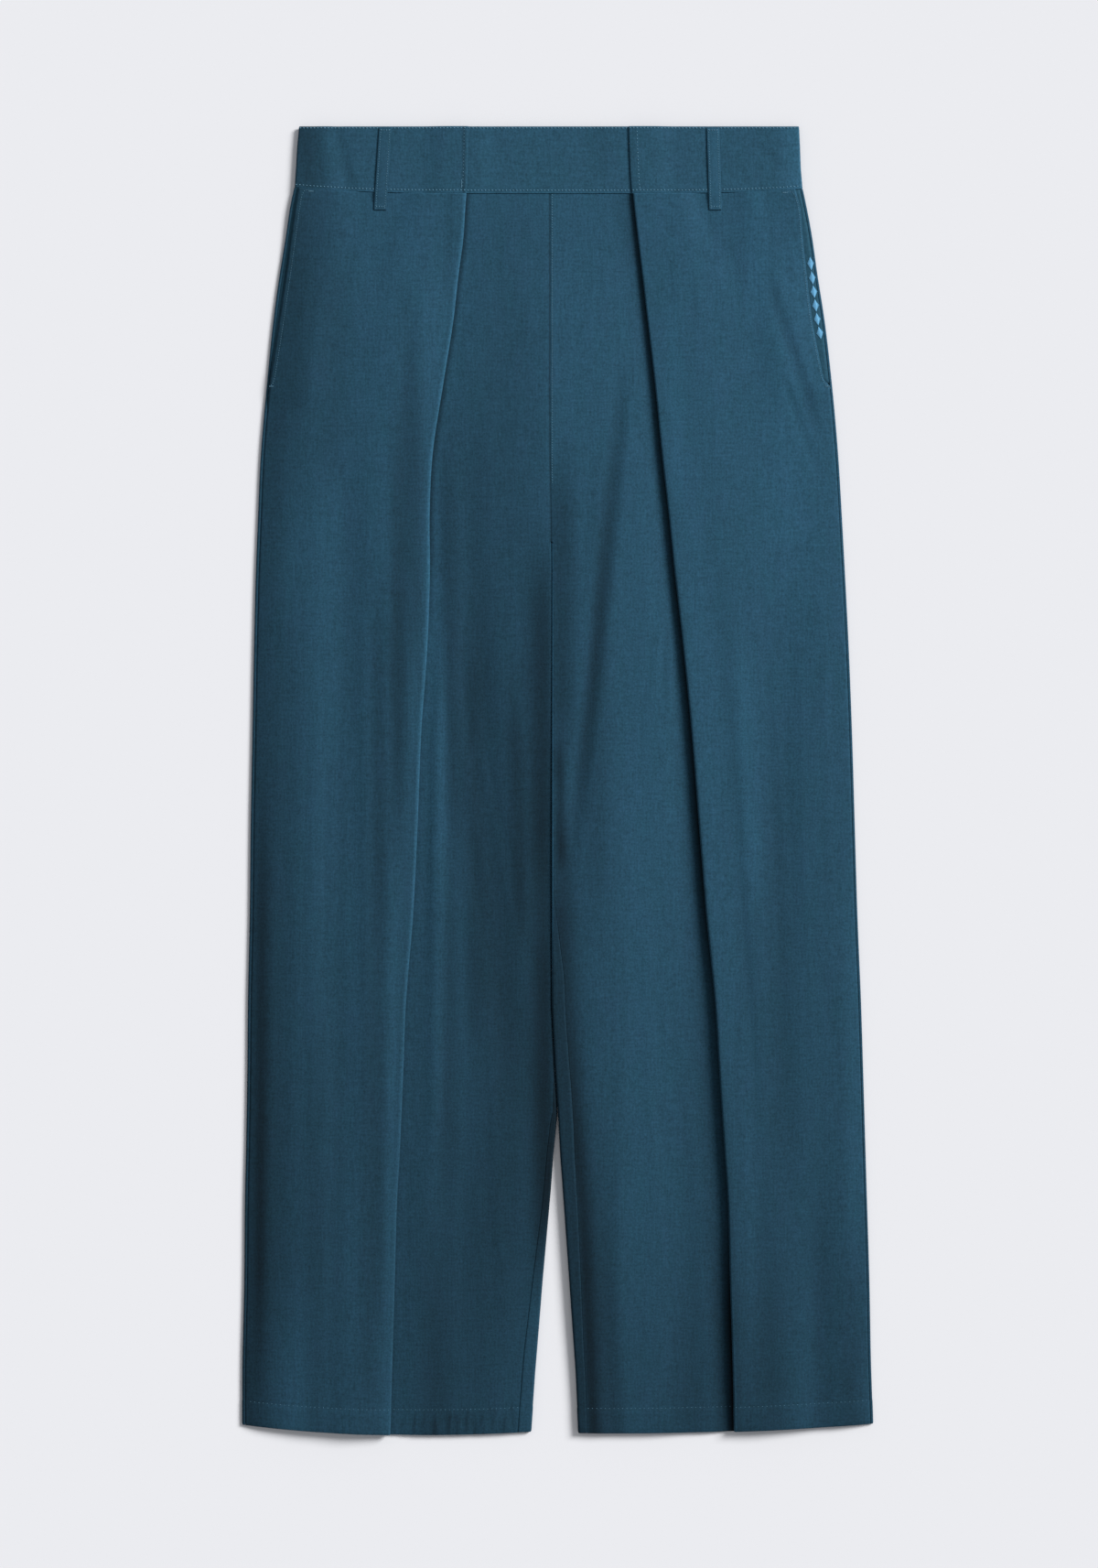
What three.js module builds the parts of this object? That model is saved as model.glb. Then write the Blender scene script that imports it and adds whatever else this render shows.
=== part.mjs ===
// Pleated wide-leg trousers, laid flat with the front up.
// Millimetres, +Z up. The waist is towards +Y and the wearer's left side towards +X.
// The origin is on the surface below the middle of the garment.
import * as THREE from 'three';

// Driving sizes
const OUTSEAM = 1050; // top of the waistband to the lowest point of the hem
const CLOTH = 1.2; // thickness of a leg wall
const BAND_CLOTH = 1.6; // thickness of the waistband, cloth on both faces
const LOOP_CLOTH = 1.2; // thickness of a front belt loop
const BACK_LOOP_CLOTH = 1.0; // thickness of a back belt loop, pressed flat
const SEAM_GAP = 0.3; // distance between pieces at a seam and between layers
const BAND_DEPTH = 53.8; // height of the waistband at the centre front
const WAIST_RISE = 4.5; // how much the waist seam rises from the centre to a side
const WAIST_HALF_WIDTH = 205;
const CROTCH_DROP = 334; // top of the waistband to the crotch
const PLEAT_DEPTH_WAIST = 38; // cloth hidden under a pleat at the waist
const PLEAT_DEPTH_HEM = 28; // cloth hidden under a pleat at the hem
const OUTSEAM_WRAP = 2.2; // width of the back that shows on the front, at the outer edges
const INSEAM_WRAP = 1.8; // smallest width of the back that shows on the front, at the inner edges
const FACING_WIDTH = 28; // width of a pocket facing behind the front panel's edge
const LAP_WIDTH = 14; // how far the round waistband laps over the centre piece
const LOOP_WIDTH = 10;
const LOOP_LENGTH = 66;
const CROWN = 1.7; // how far a panel stands off the layer below, in its middle
const MOST_RISE = 3.4; // and at its highest fold

const RIGHT = -1; // side of the wearer's right leg
const LEFT = 1;

// Rows of values under named columns.
const table = (columns, rows) => rows
  .map((row) => Object.fromEntries(columns.map((name, i) => [name, row[i]])));

// Distances from the top of the waistband (drop) and from the middle line, for each section:
// outer edge, pleat fold and inner edge of each leg.
const SECTIONS = table(
  ['drop', 'rightOuter', 'rightFold', 'rightInner', 'leftInner', 'leftFold', 'leftOuter'],
  [
    [54, -211.5, -73.2, -6.2, -6.2, 60.3, 196.8],
    [67, -214.4, -74.2, -6.2, -6.2, 61.7, 199.6],
    [89, -218.0, -76.1, -6.2, -6.2, 64.3, 204.0],
    [118, -223.2, -80.5, -6.2, -6.2, 68.0, 208.5],
    [155, -228.3, -84.9, -6.2, -6.2, 72.4, 214.3],
    [206, -233.5, -93.0, -6.2, -6.2, 78.3, 220.2],
    [265, -238.6, -101.8, -6.0, -6.0, 84.2, 225.4],
    [310, -240.6, -104.0, -5.2, -5.2, 89.3, 228.1],
    [354, -242.3, -103.8, -4.8, -4.8, 93.8, 230.5],
    [412, -243.8, -105.5, -4.8, -4.8, 100.4, 233.5],
    [486, -245.2, -110.7, -4.8, -4.8, 107.7, 236.4],
    [560, -246.6, -113.6, -4.8, -4.8, 113.6, 238.6],
    [633, -247.4, -117.3, -4.8, -4.8, 119.5, 240.8],
    [707, -248.9, -123.2, -4.8, -4.8, 126.8, 243.8],
    [756, -249.3, -125.0, -2.3, -2.3, 129.8, 245.3],
    [790, -249.8, -126.5, 0.0, 0.0, 132.0, 246.3],
    [824, -250.4, -128.0, -3.3, 1.8, 134.3, 247.3],
    [854, -251.1, -129.8, -5.5, 4.0, 136.4, 248.2],
    [927, -251.8, -132.0, -12.1, 9.2, 138.6, 250.4],
    [1001, -253.3, -134.2, -18.0, 14.3, 140.8, 251.8],
    [1050, -253.3, -135.7, -21.3, 16.5, 141.9, 253.3],
  ],
);

// Extra sections where a wall changes quickly: below the pockets, at the crotch and above the hem.
const POCKET_DROP = 203; // bottom of the pocket openings
const POCKET_CORNER = 5; // height of the slanted bottom end of an opening
const CROTCH_STEP = 7;
const FACING_FADE = 230; // the front panel has come down to the back again at this drop
const HEM_TOP = 1030; // upper edge of the turned-up hem
const ROW_CLEARANCE = 3.5; // a table's row nearer than this to an extra one makes no section
const EXTRA_DROPS = [
  POCKET_DROP,
  POCKET_DROP + POCKET_CORNER,
  FACING_FADE,
  CROTCH_DROP - 2 * CROTCH_STEP,
  CROTCH_DROP - CROTCH_STEP,
  CROTCH_DROP,
  HEM_TOP,
];

// The waistband's outline and laps.
const BAND_SECTIONS = table(
  ['drop', 'rightOuter', 'rightLap', 'leftLap', 'leftOuter'],
  [
    [0, -207.7, -71.7, 57.0, 193.8],
    [18, -209.2, -71.9, 57.6, 194.6],
    [36, -210.1, -72.4, 58.3, 195.2],
    [53.5, -211.2, -73.1, 59.6, 196.6],
  ],
);

// Slanted edges of the two pocket openings.
const POCKET_EDGES = table(
  ['drop', 'right', 'left'],
  [
    [54, -208.0, 190.6],
    [67, -210.2, 194.4],
    [89, -213.6, 196.6],
    [118, -218.0, 199.8],
    [155, -223.4, 204.3],
    [POCKET_DROP, -230.9, 213.5],
  ],
);

// Width of the back panel that turns on to the front along the inseams.
const INSEAM_WRAPS = table(
  ['drop', 'right', 'left'],
  [
    [CROTCH_DROP, INSEAM_WRAP, INSEAM_WRAP],
    [616, INSEAM_WRAP, INSEAM_WRAP],
    [685, INSEAM_WRAP, 10.3],
    [765, INSEAM_WRAP, 12.0],
    [800, 5.0, 12.0],
    [870, 6.2, 11.0],
    [986, 10.7, 7.7],
    [1050, 11.0, 7.0],
  ],
);

// The largest soft folds: a ridge has a positive rise, a hollow a negative one.
const SOFT_FOLDS = table(
  ['side', 'fromDrop', 'fromX', 'toDrop', 'toX', 'halfWidth', 'rise'],
  [
    [RIGHT, 300, -96, 800, -36, 22, -1.7],
    [RIGHT, 330, -98, 700, -78, 14, 1.7],
    [RIGHT, 210, -116, 560, -138, 12, -1.4],
    [RIGHT, 480, -138, 960, -158, 14, -1.6],
    [RIGHT, 240, -190, 760, -205, 22, 1.4],
    [LEFT, 215, 60, 620, 8, 14, -1.5],
    [LEFT, 340, 72, 960, 84, 24, 1.6],
    [LEFT, 350, 200, 920, 184, 18, -1.5],
    [LEFT, 420, 140, 900, 158, 16, 1.2],
  ],
);

// Belt loops: the middle line at the top and at the bottom end.
const FRONT_LOOPS = table(
  ['name', 'topX', 'bottomX'],
  [
    ['belt_loop_front_right', -138.2, -142.5],
    ['belt_loop_front_left', 124.6, 126.6],
  ],
);
const BACK_LOOPS = table(
  ['name', 'topX', 'bottomX'],
  [
    ['belt_loop_back_right', -112, -113],
    ['belt_loop_back_centre', -6.2, -6.2],
    ['belt_loop_back_left', 99, 100],
  ],
);

// The hem of each leg hangs lowest at one place and rises towards the sides.
const HEMS = {
  [RIGHT]: { lowestX: -105, lowestDrop: 1050, rise: 8.1, span: 148 },
  [LEFT]: { lowestX: 50, lowestDrop: 1048.5, rise: 7.3, span: 201 },
};

// Worked-out sizes
const HALF_CLOTH = CLOTH / 2;
const LAYER_STEP = CLOTH + SEAM_GAP; // height from one cloth layer to the next
const TURN_RADIUS = LAYER_STEP / 2; // middle of the wall where it turns back on itself
const FOLD_REACH = TURN_RADIUS + HALF_CLOTH; // a turned wall's outer radius
const BAND_STEP = BAND_CLOTH + SEAM_GAP;
const BAND_TURN = BAND_STEP / 2;
const WAIST_LIFT = BACK_LOOP_CLOTH + SEAM_GAP; // the waist lies on the back belt loops
const LIFT_START = LOOP_LENGTH + 2;
const LIFT_END = 112;
const PANEL_TOP = 54.1;
const WAIST_FADE = 130; // the waist seam's curve has died out at this drop
const HEM_FADE = 960; // the hem's curve starts at this drop
const PRESSED_TO = 150; // a panel is pressed flat at the waist and loose from this drop on
const CROWN_SHOULDER = 30; // from a panel's edge to its full crown
const FOLD_SHOULDER = 12; // from a panel's edge to the full height of its folds
const FOLD_FADE = 0.3; // share of a fold's length over which it rises and dies out
const FOLD_CLEARANCE = 3; // flat strip of the centre panel in front of the pleat's fold
const PLEAT_MARGIN = 1.5; // from the hidden pleat's inner fold to where the panel steps down
const PLEAT_RAMP_WAIST = 14; // width over which the side panel comes down off the pleat
const PLEAT_RAMP = 40; // and the same below the waist
const FACING_MARGIN = 2;
const FACING_RAMP = 16; // width over which the front panel climbs on to the facing
const FIRST_STEP = 5; // from a turn or a ramp's start to the next point of the section
const BACK_MARGIN = 6; // from a back panel's turned edge to its first flat point
const TURN_STEPS = 4; // straight steps in a half turn
const MITRE_LIMIT = 0.7; // keeps a wall's outer corner from running far out at a sharp bend
const END_MARGIN = 4; // from a waistband's turn to its first flat point
const LOOP_INSET = 1; // from the top edge down to a loop's upper end
const LOOP_FLAT_END = 3; // lower end of a loop, flat on the panel
const LOOP_BOW = 0.8; // how far a loop stands off the waistband in its middle
const LOOP_STEP_FROM = 55; // where a loop steps down from the waistband to the panel

// Numbers of points across each stretch of a section
const CENTRE_POINTS = 8;
const PLEAT_POINTS = 4;
const RAMP_POINTS = 5;
const SIDE_POINTS = 8;
const BACK_POINTS = 7;
const FACING_POINTS = 5;
const BAND_POINTS = 9;
const LAP_POINTS = 3;
const LOOP_POINTS = 9;

// Shape helpers
const clamp = (value, low, high) => Math.min(high, Math.max(low, value));

function smoothStep(from, to, value) {
  const t = clamp((value - from) / (to - from), 0, 1);
  return t * t * (3 - 2 * t);
}

function readTable(rows, column, drop) {
  if (drop <= rows[0].drop) return rows[0][column];
  for (let i = 1; i < rows.length; i += 1) {
    const above = rows[i - 1];
    const below = rows[i];
    if (drop <= below.drop) {
      const t = (drop - above.drop) / (below.drop - above.drop);
      return above[column] + t * (below[column] - above[column]);
    }
  }
  return rows[rows.length - 1][column];
}

const sideName = (side) => (side === LEFT ? 'left' : 'right');

// Distances of a leg's edges from the middle line, counted outwards from it.
function legColumns(side, drop) {
  const name = sideName(side);
  return {
    inner: side * readTable(SECTIONS, `${name}Inner`, drop) + SEAM_GAP / 2,
    fold: side * readTable(SECTIONS, `${name}Fold`, drop),
    outer: side * readTable(SECTIONS, `${name}Outer`, drop),
    pocket: side * readTable(POCKET_EDGES, name, drop),
    wrap: readTable(INSEAM_WRAPS, name, drop),
  };
}

const waistCurve = (x) => -WAIST_RISE * Math.abs(x / WAIST_HALF_WIDTH) ** 4;

function hemCurve(side, x) {
  const hem = HEMS[side];
  const away = (x - hem.lowestX) / hem.span;
  return hem.lowestDrop - OUTSEAM - hem.rise * away * away;
}

// The real drop of a point of a leg's section, on the curved waist seam and hem.
function legY(side, x, drop) {
  const waist = waistCurve(x) * (1 - smoothStep(PANEL_TOP, WAIST_FADE, drop));
  const hem = hemCurve(side, x) * smoothStep(HEM_FADE, OUTSEAM, drop);
  return OUTSEAM / 2 - (drop + waist + hem);
}

const liftAt = (drop) => WAIST_LIFT * (1 - smoothStep(LIFT_START, LIFT_END, drop));

function foldRise(fold, x, drop) {
  const t = (drop - fold.fromDrop) / (fold.toDrop - fold.fromDrop);
  if (t <= 0 || t >= 1) return 0;
  const middle = fold.fromX + t * (fold.toX - fold.fromX);
  const across = Math.abs(x - middle) / fold.halfWidth;
  if (across >= 1) return 0;
  const along = smoothStep(0, FOLD_FADE, t) * (1 - smoothStep(1 - FOLD_FADE, 1, t));
  return fold.rise * along * (0.5 + 0.5 * Math.cos(Math.PI * across));
}

// How far a panel between two edges stands off the layer below it.
function panelRise(side, u, drop, from, to) {
  const edge = Math.min(u - from, to - u);
  const crown = CROWN * smoothStep(0, CROWN_SHOULDER, edge);
  const x = side * u;
  const folds = SOFT_FOLDS.filter((fold) => fold.side === side)
    .reduce((sum, fold) => sum + foldRise(fold, x, drop), 0);
  const shoulder = smoothStep(0, FOLD_SHOULDER, edge);
  const top = smoothStep(PANEL_TOP, PRESSED_TO, drop);
  return clamp(crown + folds * shoulder, 0, MOST_RISE) * top;
}

// A half turn in a section, from angle to angle about a centre.
function halfTurn(u, z, radius, fromAngle, toAngle) {
  const points = [];
  for (let i = 0; i <= TURN_STEPS; i += 1) {
    const angle = fromAngle + (toAngle - fromAngle) * (i / TURN_STEPS);
    points.push([u + radius * Math.cos(angle), z + radius * Math.sin(angle)]);
  }
  return points;
}

function spread(from, to, count) {
  return Array.from({ length: count }, (_, i) => from + (to - from) * (i / (count - 1)));
}

// One section of a leg front, from the centre seam or inseam out to the outseam or pocket.
function frontSection(side, drop) {
  const edges = legColumns(side, drop);
  const base = liftAt(drop) + HALF_CLOTH + LAYER_STEP;
  const below = drop > CROTCH_DROP - 2 * CROTCH_STEP;
  const start = edges.inner + (below ? edges.wrap + SEAM_GAP : 0);
  const depthShare = (drop - PANEL_TOP) / (OUTSEAM - PANEL_TOP);
  const depth = PLEAT_DEPTH_WAIST + (PLEAT_DEPTH_HEM - PLEAT_DEPTH_WAIST) * depthShare;
  const innerTurn = edges.fold + depth - FOLD_REACH;
  const foldTurn = edges.fold + FOLD_REACH;
  const seam = edges.outer - OUTSEAM_WRAP - SEAM_GAP;
  const open = drop <= POCKET_DROP;
  const end = open ? Math.min(edges.pocket, seam) : seam;
  const flatFrom = edges.fold - FOLD_CLEARANCE;

  const centre = spread(start, flatFrom, CENTRE_POINTS)
    .map((u) => [u, base + panelRise(side, u, drop, start, flatFrom)]);
  const lowTurn = base + TURN_RADIUS;
  const highTurn = lowTurn + LAYER_STEP;
  const hiddenTurn = halfTurn(innerTurn, lowTurn, TURN_RADIUS, -Math.PI / 2, Math.PI / 2);
  const visibleTurn = halfTurn(foldTurn, highTurn, TURN_RADIUS, -Math.PI / 2, -1.5 * Math.PI);

  const stepFrom = edges.fold + depth + PLEAT_MARGIN;
  const loose = smoothStep(LIFT_START, PRESSED_TO, drop);
  const stepTo = stepFrom + PLEAT_RAMP_WAIST + (PLEAT_RAMP - PLEAT_RAMP_WAIST) * loose;
  const facingTo = edges.pocket - FACING_WIDTH - FACING_MARGIN;
  const facingFrom = facingTo - FACING_RAMP;
  const facingRow = 1 - smoothStep(POCKET_DROP + POCKET_CORNER, FACING_FADE, drop);
  const sideHeight = (u) => {
    const overPleat = 2 * LAYER_STEP * (1 - smoothStep(stepFrom, stepTo, u));
    const overFacing = LAYER_STEP * smoothStep(facingFrom, facingTo, u) * facingRow;
    return base + overPleat + overFacing + panelRise(side, u, drop, edges.fold, end);
  };
  const sidePanel = [
    ...spread(foldTurn + FIRST_STEP, stepFrom, PLEAT_POINTS),
    ...spread(stepFrom + FIRST_STEP, stepTo, RAMP_POINTS),
    ...spread(stepTo, end, SIDE_POINTS).slice(1),
  ].map((u) => [u, sideHeight(u)]);
  return [...centre, ...hiddenTurn, ...visibleTurn, ...sidePanel];
}

// One section of a leg back, from the inner edge across to the outer edge, both turned on to the front.
function backSection(side, drop) {
  const edges = legColumns(side, drop);
  const low = liftAt(drop) + HALF_CLOTH;
  const inner = edges.inner + FOLD_REACH;
  const outer = edges.outer - FOLD_REACH;
  const turned = [
    [edges.inner + edges.wrap, low + LAYER_STEP],
    ...halfTurn(inner, low + TURN_RADIUS, TURN_RADIUS, Math.PI / 2, 1.5 * Math.PI),
  ];
  const flat = spread(edges.inner, inner + BACK_MARGIN / 2, turned.length).map((u) => [u, low]);
  const innerEnd = drop >= CROTCH_DROP ? turned : flat;
  const across = spread(inner + BACK_MARGIN, outer - BACK_MARGIN / 3, BACK_POINTS).map((u) => [u, low]);
  const outerEnd = [
    ...halfTurn(outer, low + TURN_RADIUS, TURN_RADIUS, -Math.PI / 2, Math.PI / 2),
    [edges.outer - OUTSEAM_WRAP, low + LAYER_STEP],
  ];
  return [...innerEnd, ...across, ...outerEnd];
}

// The closed outline of a wall of one thickness about a section's middle line.
function wallRing(path, thickness) {
  const normals = path.map((point, i) => {
    const before = path[Math.max(0, i - 1)];
    const after = path[Math.min(path.length - 1, i + 1)];
    const into = [point[0] - before[0], point[1] - before[1]];
    const out = [after[0] - point[0], after[1] - point[1]];
    const unit = (v) => {
      const size = Math.hypot(v[0], v[1]);
      return size > 0 ? [v[0] / size, v[1] / size] : [0, 0];
    };
    const a = unit(into);
    const b = unit(out);
    const sum = unit([a[0] + b[0], a[1] + b[1]]);
    const bend = Math.max(MITRE_LIMIT, Math.hypot(a[0] + b[0], a[1] + b[1]) / 2);
    const reach = i === 0 || i === path.length - 1 ? 1 : 1 / bend;
    return [-sum[1] * reach, sum[0] * reach];
  });
  const half = thickness / 2;
  const top = path.map(([u, z], i) => [u + normals[i][0] * half, z + normals[i][1] * half]);
  const under = path.map(([u, z], i) => [u - normals[i][0] * half, z - normals[i][1] * half]);
  return [...top, ...under.reverse()];
}

// A closed solid through rings of points, with strips of triangles across its two ends.
function loftRings(rings) {
  const count = rings[0].length;
  const positions = rings.flat(2);
  const indices = [];
  for (let row = 0; row < rings.length - 1; row += 1) {
    for (let i = 0; i < count; i += 1) {
      const next = (i + 1) % count;
      const a = row * count + i;
      const b = row * count + next;
      indices.push(a, b, b + count, a, b + count, a + count);
    }
  }
  const last = (rings.length - 1) * count;
  for (let i = 0; i < count / 2 - 1; i += 1) {
    const j = count - 1 - i;
    indices.push(i, j, j - 1, i, j - 1, i + 1);
    indices.push(last + i, last + j - 1, last + j, last + i, last + i + 1, last + j - 1);
  }
  const geometry = new THREE.BufferGeometry();
  geometry.setAttribute('position', new THREE.Float32BufferAttribute(positions, 3));
  geometry.setIndex(signedVolume(positions, indices) < 0 ? indices.slice().reverse() : indices);
  geometry.computeVertexNormals();
  return geometry;
}

function signedVolume(positions, indices) {
  let six = 0;
  const at = (i) => new THREE.Vector3(positions[3 * i], positions[3 * i + 1], positions[3 * i + 2]);
  for (let i = 0; i < indices.length; i += 3) {
    six += at(indices[i]).dot(at(indices[i + 1]).cross(at(indices[i + 2])));
  }
  return six / 6;
}

// Pieces
const LEG_DROPS = [PANEL_TOP, ...SECTIONS.slice(1).map((row) => row.drop), ...EXTRA_DROPS]
  .filter((drop) => EXTRA_DROPS.every((extra) => extra === drop || Math.abs(extra - drop) > ROW_CLEARANCE))
  .sort((a, b) => a - b);

function legWall(side, section, drops = LEG_DROPS) {
  return loftRings(drops.map((drop) => wallRing(section(side, drop), CLOTH)
    .map(([u, z]) => [side * u, legY(side, side * u, drop), z])));
}

// A pocket facing lies between the back and the front panel, and shows in the opening.
function facingSection(side, drop) {
  const edges = legColumns(side, drop);
  const height = liftAt(drop) + HALF_CLOTH + LAYER_STEP;
  const seam = edges.outer - OUTSEAM_WRAP - SEAM_GAP;
  return spread(edges.pocket - FACING_WIDTH, seam, FACING_POINTS).map((u) => [u, height]);
}

const FACING_DROPS = [
  PANEL_TOP,
  ...POCKET_EDGES.slice(1).map((row) => row.drop),
  POCKET_DROP + POCKET_CORNER / 2,
];

const bandY = (x, drop) => OUTSEAM / 2 - drop - (waistCurve(x) * drop) / BAND_DEPTH;
const BAND_EDGES = ['rightOuter', 'rightLap', 'leftLap', 'leftOuter'];
const bandRow = (drop) => Object.fromEntries(
  BAND_EDGES.map((name) => [name, readTable(BAND_SECTIONS, name, drop)]),
);
const BAND_LOW = WAIST_LIFT + BAND_CLOTH / 2;
const BAND_HIGH = BAND_LOW + BAND_STEP;
const LAP_RAMP_FROM = LAP_WIDTH + 2;
const LAP_RAMP_TO = LAP_WIDTH + 24;

// The front stretch of the round waistband, from its lap out to the side.
function bandSide(side, lap, outer) {
  const from = side * lap;
  const to = side * outer - BAND_TURN - BAND_CLOTH / 2;
  const stops = [
    ...spread(from, from + LAP_RAMP_FROM, LAP_POINTS),
    ...spread(from + LAP_RAMP_FROM, from + LAP_RAMP_TO, LAP_POINTS + 1).slice(1),
    ...spread(from + LAP_RAMP_TO, to - END_MARGIN, LAP_POINTS + 1).slice(1),
  ];
  return stops.map((u) => {
    const lapped = 1 - smoothStep(from + LAP_RAMP_FROM, from + LAP_RAMP_TO, u);
    return [side * u, BAND_HIGH + BAND_STEP * lapped];
  });
}

function roundBandSection(drop) {
  const row = bandRow(drop);
  const reach = BAND_TURN + BAND_CLOTH / 2;
  const middle = BAND_LOW + BAND_TURN;
  const rightTurn = halfTurn(row.rightOuter + reach, middle, BAND_TURN, Math.PI / 2, 1.5 * Math.PI);
  const leftTurn = halfTurn(row.leftOuter - reach, middle, BAND_TURN, -Math.PI / 2, Math.PI / 2);
  const backFrom = row.rightOuter + reach + END_MARGIN;
  const backTo = row.leftOuter - reach - END_MARGIN;
  const back = spread(backFrom, backTo, BAND_POINTS).map((x) => [x, BAND_LOW]);
  return [
    ...bandSide(RIGHT, row.rightLap, row.rightOuter),
    ...rightTurn,
    ...back,
    ...leftTurn,
    ...bandSide(LEFT, row.leftLap, row.leftOuter).reverse(),
  ];
}

function centreBandSection(drop) {
  const row = bandRow(drop);
  const from = row.rightLap - LAP_WIDTH;
  const to = row.leftLap + LAP_WIDTH;
  return spread(from, to, BAND_POINTS).map((x) => [x, BAND_HIGH]);
}

function bandWall(section) {
  return loftRings(BAND_SECTIONS.map(({ drop }) => wallRing(section(drop), BAND_CLOTH)
    .map(([x, z]) => [x, bandY(x, drop), z])));
}

// A belt loop is a narrow strip sewn to the top edge and just below the waist seam.
function loopStrip({ topX, bottomX }, thickness, heightAt) {
  const rings = spread(0, LOOP_LENGTH, LOOP_POINTS).map((along) => {
    const middle = topX + ((bottomX - topX) * along) / LOOP_LENGTH;
    const height = heightAt(along);
    const ends = [[middle - LOOP_WIDTH / 2, height], [middle + LOOP_WIDTH / 2, height]];
    return wallRing(ends, thickness).map(([x, z]) => [x, OUTSEAM / 2 - LOOP_INSET - along, z]);
  });
  return loftRings(rings);
}

function frontLoopHeight(along) {
  const onBand = BAND_HIGH + BAND_CLOTH / 2 + SEAM_GAP + LOOP_CLOTH / 2;
  const onPanel = WAIST_LIFT + LAYER_STEP + CLOTH + SEAM_GAP + LOOP_CLOTH / 2;
  const bow = LOOP_BOW * Math.sin((Math.PI * clamp(along / LOOP_STEP_FROM, 0, 1)));
  const down = smoothStep(LOOP_STEP_FROM, LOOP_LENGTH - LOOP_FLAT_END, along);
  return onBand + bow + (onPanel - onBand) * down;
}

// Cloths
const cloth = new THREE.MeshStandardMaterial({ color: 0x2a5068, roughness: 0.92, metalness: 0 });
const facingCloth = new THREE.MeshStandardMaterial({ color: 0x27495d, roughness: 0.92, metalness: 0 });

const trousers = new THREE.Group();
function addPiece(name, geometry, material) {
  const mesh = new THREE.Mesh(geometry, material.clone());
  mesh.name = name;
  trousers.add(mesh);
}

for (const side of [RIGHT, LEFT]) {
  addPiece(`leg_${sideName(side)}_back`, legWall(side, backSection), cloth);
  addPiece(`leg_${sideName(side)}_front`, legWall(side, frontSection), cloth);
  addPiece(`pocket_facing_${sideName(side)}`, legWall(side, facingSection, FACING_DROPS), facingCloth);
}
addPiece('waistband_round', bandWall(roundBandSection), cloth);
addPiece('waistband_centre', bandWall(centreBandSection), cloth);
for (const loop of FRONT_LOOPS) {
  addPiece(loop.name, loopStrip(loop, LOOP_CLOTH, frontLoopHeight), cloth);
}
for (const loop of BACK_LOOPS) {
  addPiece(loop.name, loopStrip(loop, BACK_LOOP_CLOTH, () => BACK_LOOP_CLOTH / 2), cloth);
}

export default trousers;
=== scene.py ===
"""Pleated wide-leg trousers, laid flat with the front up and seen from straight above."""

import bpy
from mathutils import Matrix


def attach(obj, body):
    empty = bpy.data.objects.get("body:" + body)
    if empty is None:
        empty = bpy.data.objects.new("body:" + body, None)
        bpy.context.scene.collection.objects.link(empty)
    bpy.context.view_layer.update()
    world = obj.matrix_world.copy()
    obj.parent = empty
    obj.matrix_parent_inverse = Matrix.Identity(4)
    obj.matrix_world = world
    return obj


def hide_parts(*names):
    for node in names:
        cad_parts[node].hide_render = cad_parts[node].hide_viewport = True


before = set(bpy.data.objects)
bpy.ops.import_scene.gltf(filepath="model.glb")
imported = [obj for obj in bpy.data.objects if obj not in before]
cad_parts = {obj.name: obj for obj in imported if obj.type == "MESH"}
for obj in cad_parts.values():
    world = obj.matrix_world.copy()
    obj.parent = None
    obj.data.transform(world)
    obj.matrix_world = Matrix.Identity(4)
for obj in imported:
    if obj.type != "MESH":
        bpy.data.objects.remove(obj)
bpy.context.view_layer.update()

from math import cos, pi, radians, sin

import bpy
import numpy as np
from mathutils import Euler, Vector
from mathutils.bvhtree import BVHTree

# Sizes are in millimetres, as the solids are drawn, and turned into metres when a mesh is made.
MM = 0.001
RIGHT, LEFT = -1, 1  # the wearer's right leg is the viewer's left one
NAMES = {RIGHT: "right", LEFT: "left"}

OUTSEAM = 1050
PANEL_TOP = 53.85
CROTCH_DROP = 334
CENTRE_SEAM = -6.2
POCKET_DROP = 203
POCKET_CORNER = 5
LAYER_STEP = 1.5  # from one layer of cloth to the next
CLOTH = 0.9
HEM_CLOTH = 1.3  # the turned-up hem is double
HEM_DEPTH = 20.3
HEM_ROW = OUTSEAM - HEM_DEPTH
LOW_LAYER = 0.66  # middle of the back panel above the surface
BAND_CLOTH = 1.4
BAND_DEPTH = 53.8
PLEAT_RAMP_WAIST = 16  # width over which the side panel comes down off the pleat
PLEAT_RAMP = 50  # and the same below the waist
BAND_STEP = 1.9
WAIST_LIFT = 1.3
OUTSEAM_WRAP = 2.2
SEAM_GAP = 0.08
PLEAT_DEPTH_WAIST = 38
PLEAT_DEPTH_HEM = 28
FACING_WIDTH = 28
LAP_WIDTH = 14
LOOP_WIDTH = 10
LOOP_LENGTH = 66
WAIST_RISE = 4.5  # of the curved waist, at WAIST_HALF from the middle line
WAIST_HALF = 205
WAIST_CURVE_END = 130
HEM_CURVE_START = 960
CENTRE_LOOSE = 1.4  # how far the centre panels stand off the layer below
FOLD_REACH = 0.9  # how far a pleat's edge bulges sideways
TURN_REACH = 0.55  # and a back's turned inner edge, which opens further down
TURN_REACH_DROPS = [(600, 720, 0.75)]
SEAM_COLUMNS = np.array([0, 0.4, 1.2, 2.4, 4])  # close together beside the centre seam
EDGE_ROLLS = {RIGHT: (3.8, 34), LEFT: (2.6, 26)}  # height and width of the rolled outer edges
HEM_DENT = (0.2, 0.9)  # depth and width of the hollow under a row of stitches
ROW_DENT = (0.14, 0.6)
LOOP_DENT = (0.14, 0.5)
POCKET_ROW = {RIGHT: 3.6, LEFT: 1.7}  # from the opening's edge to its row of stitches
LOZENGE_HALF = 4.8
LOZENGE_WIDTH = 7.4
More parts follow.
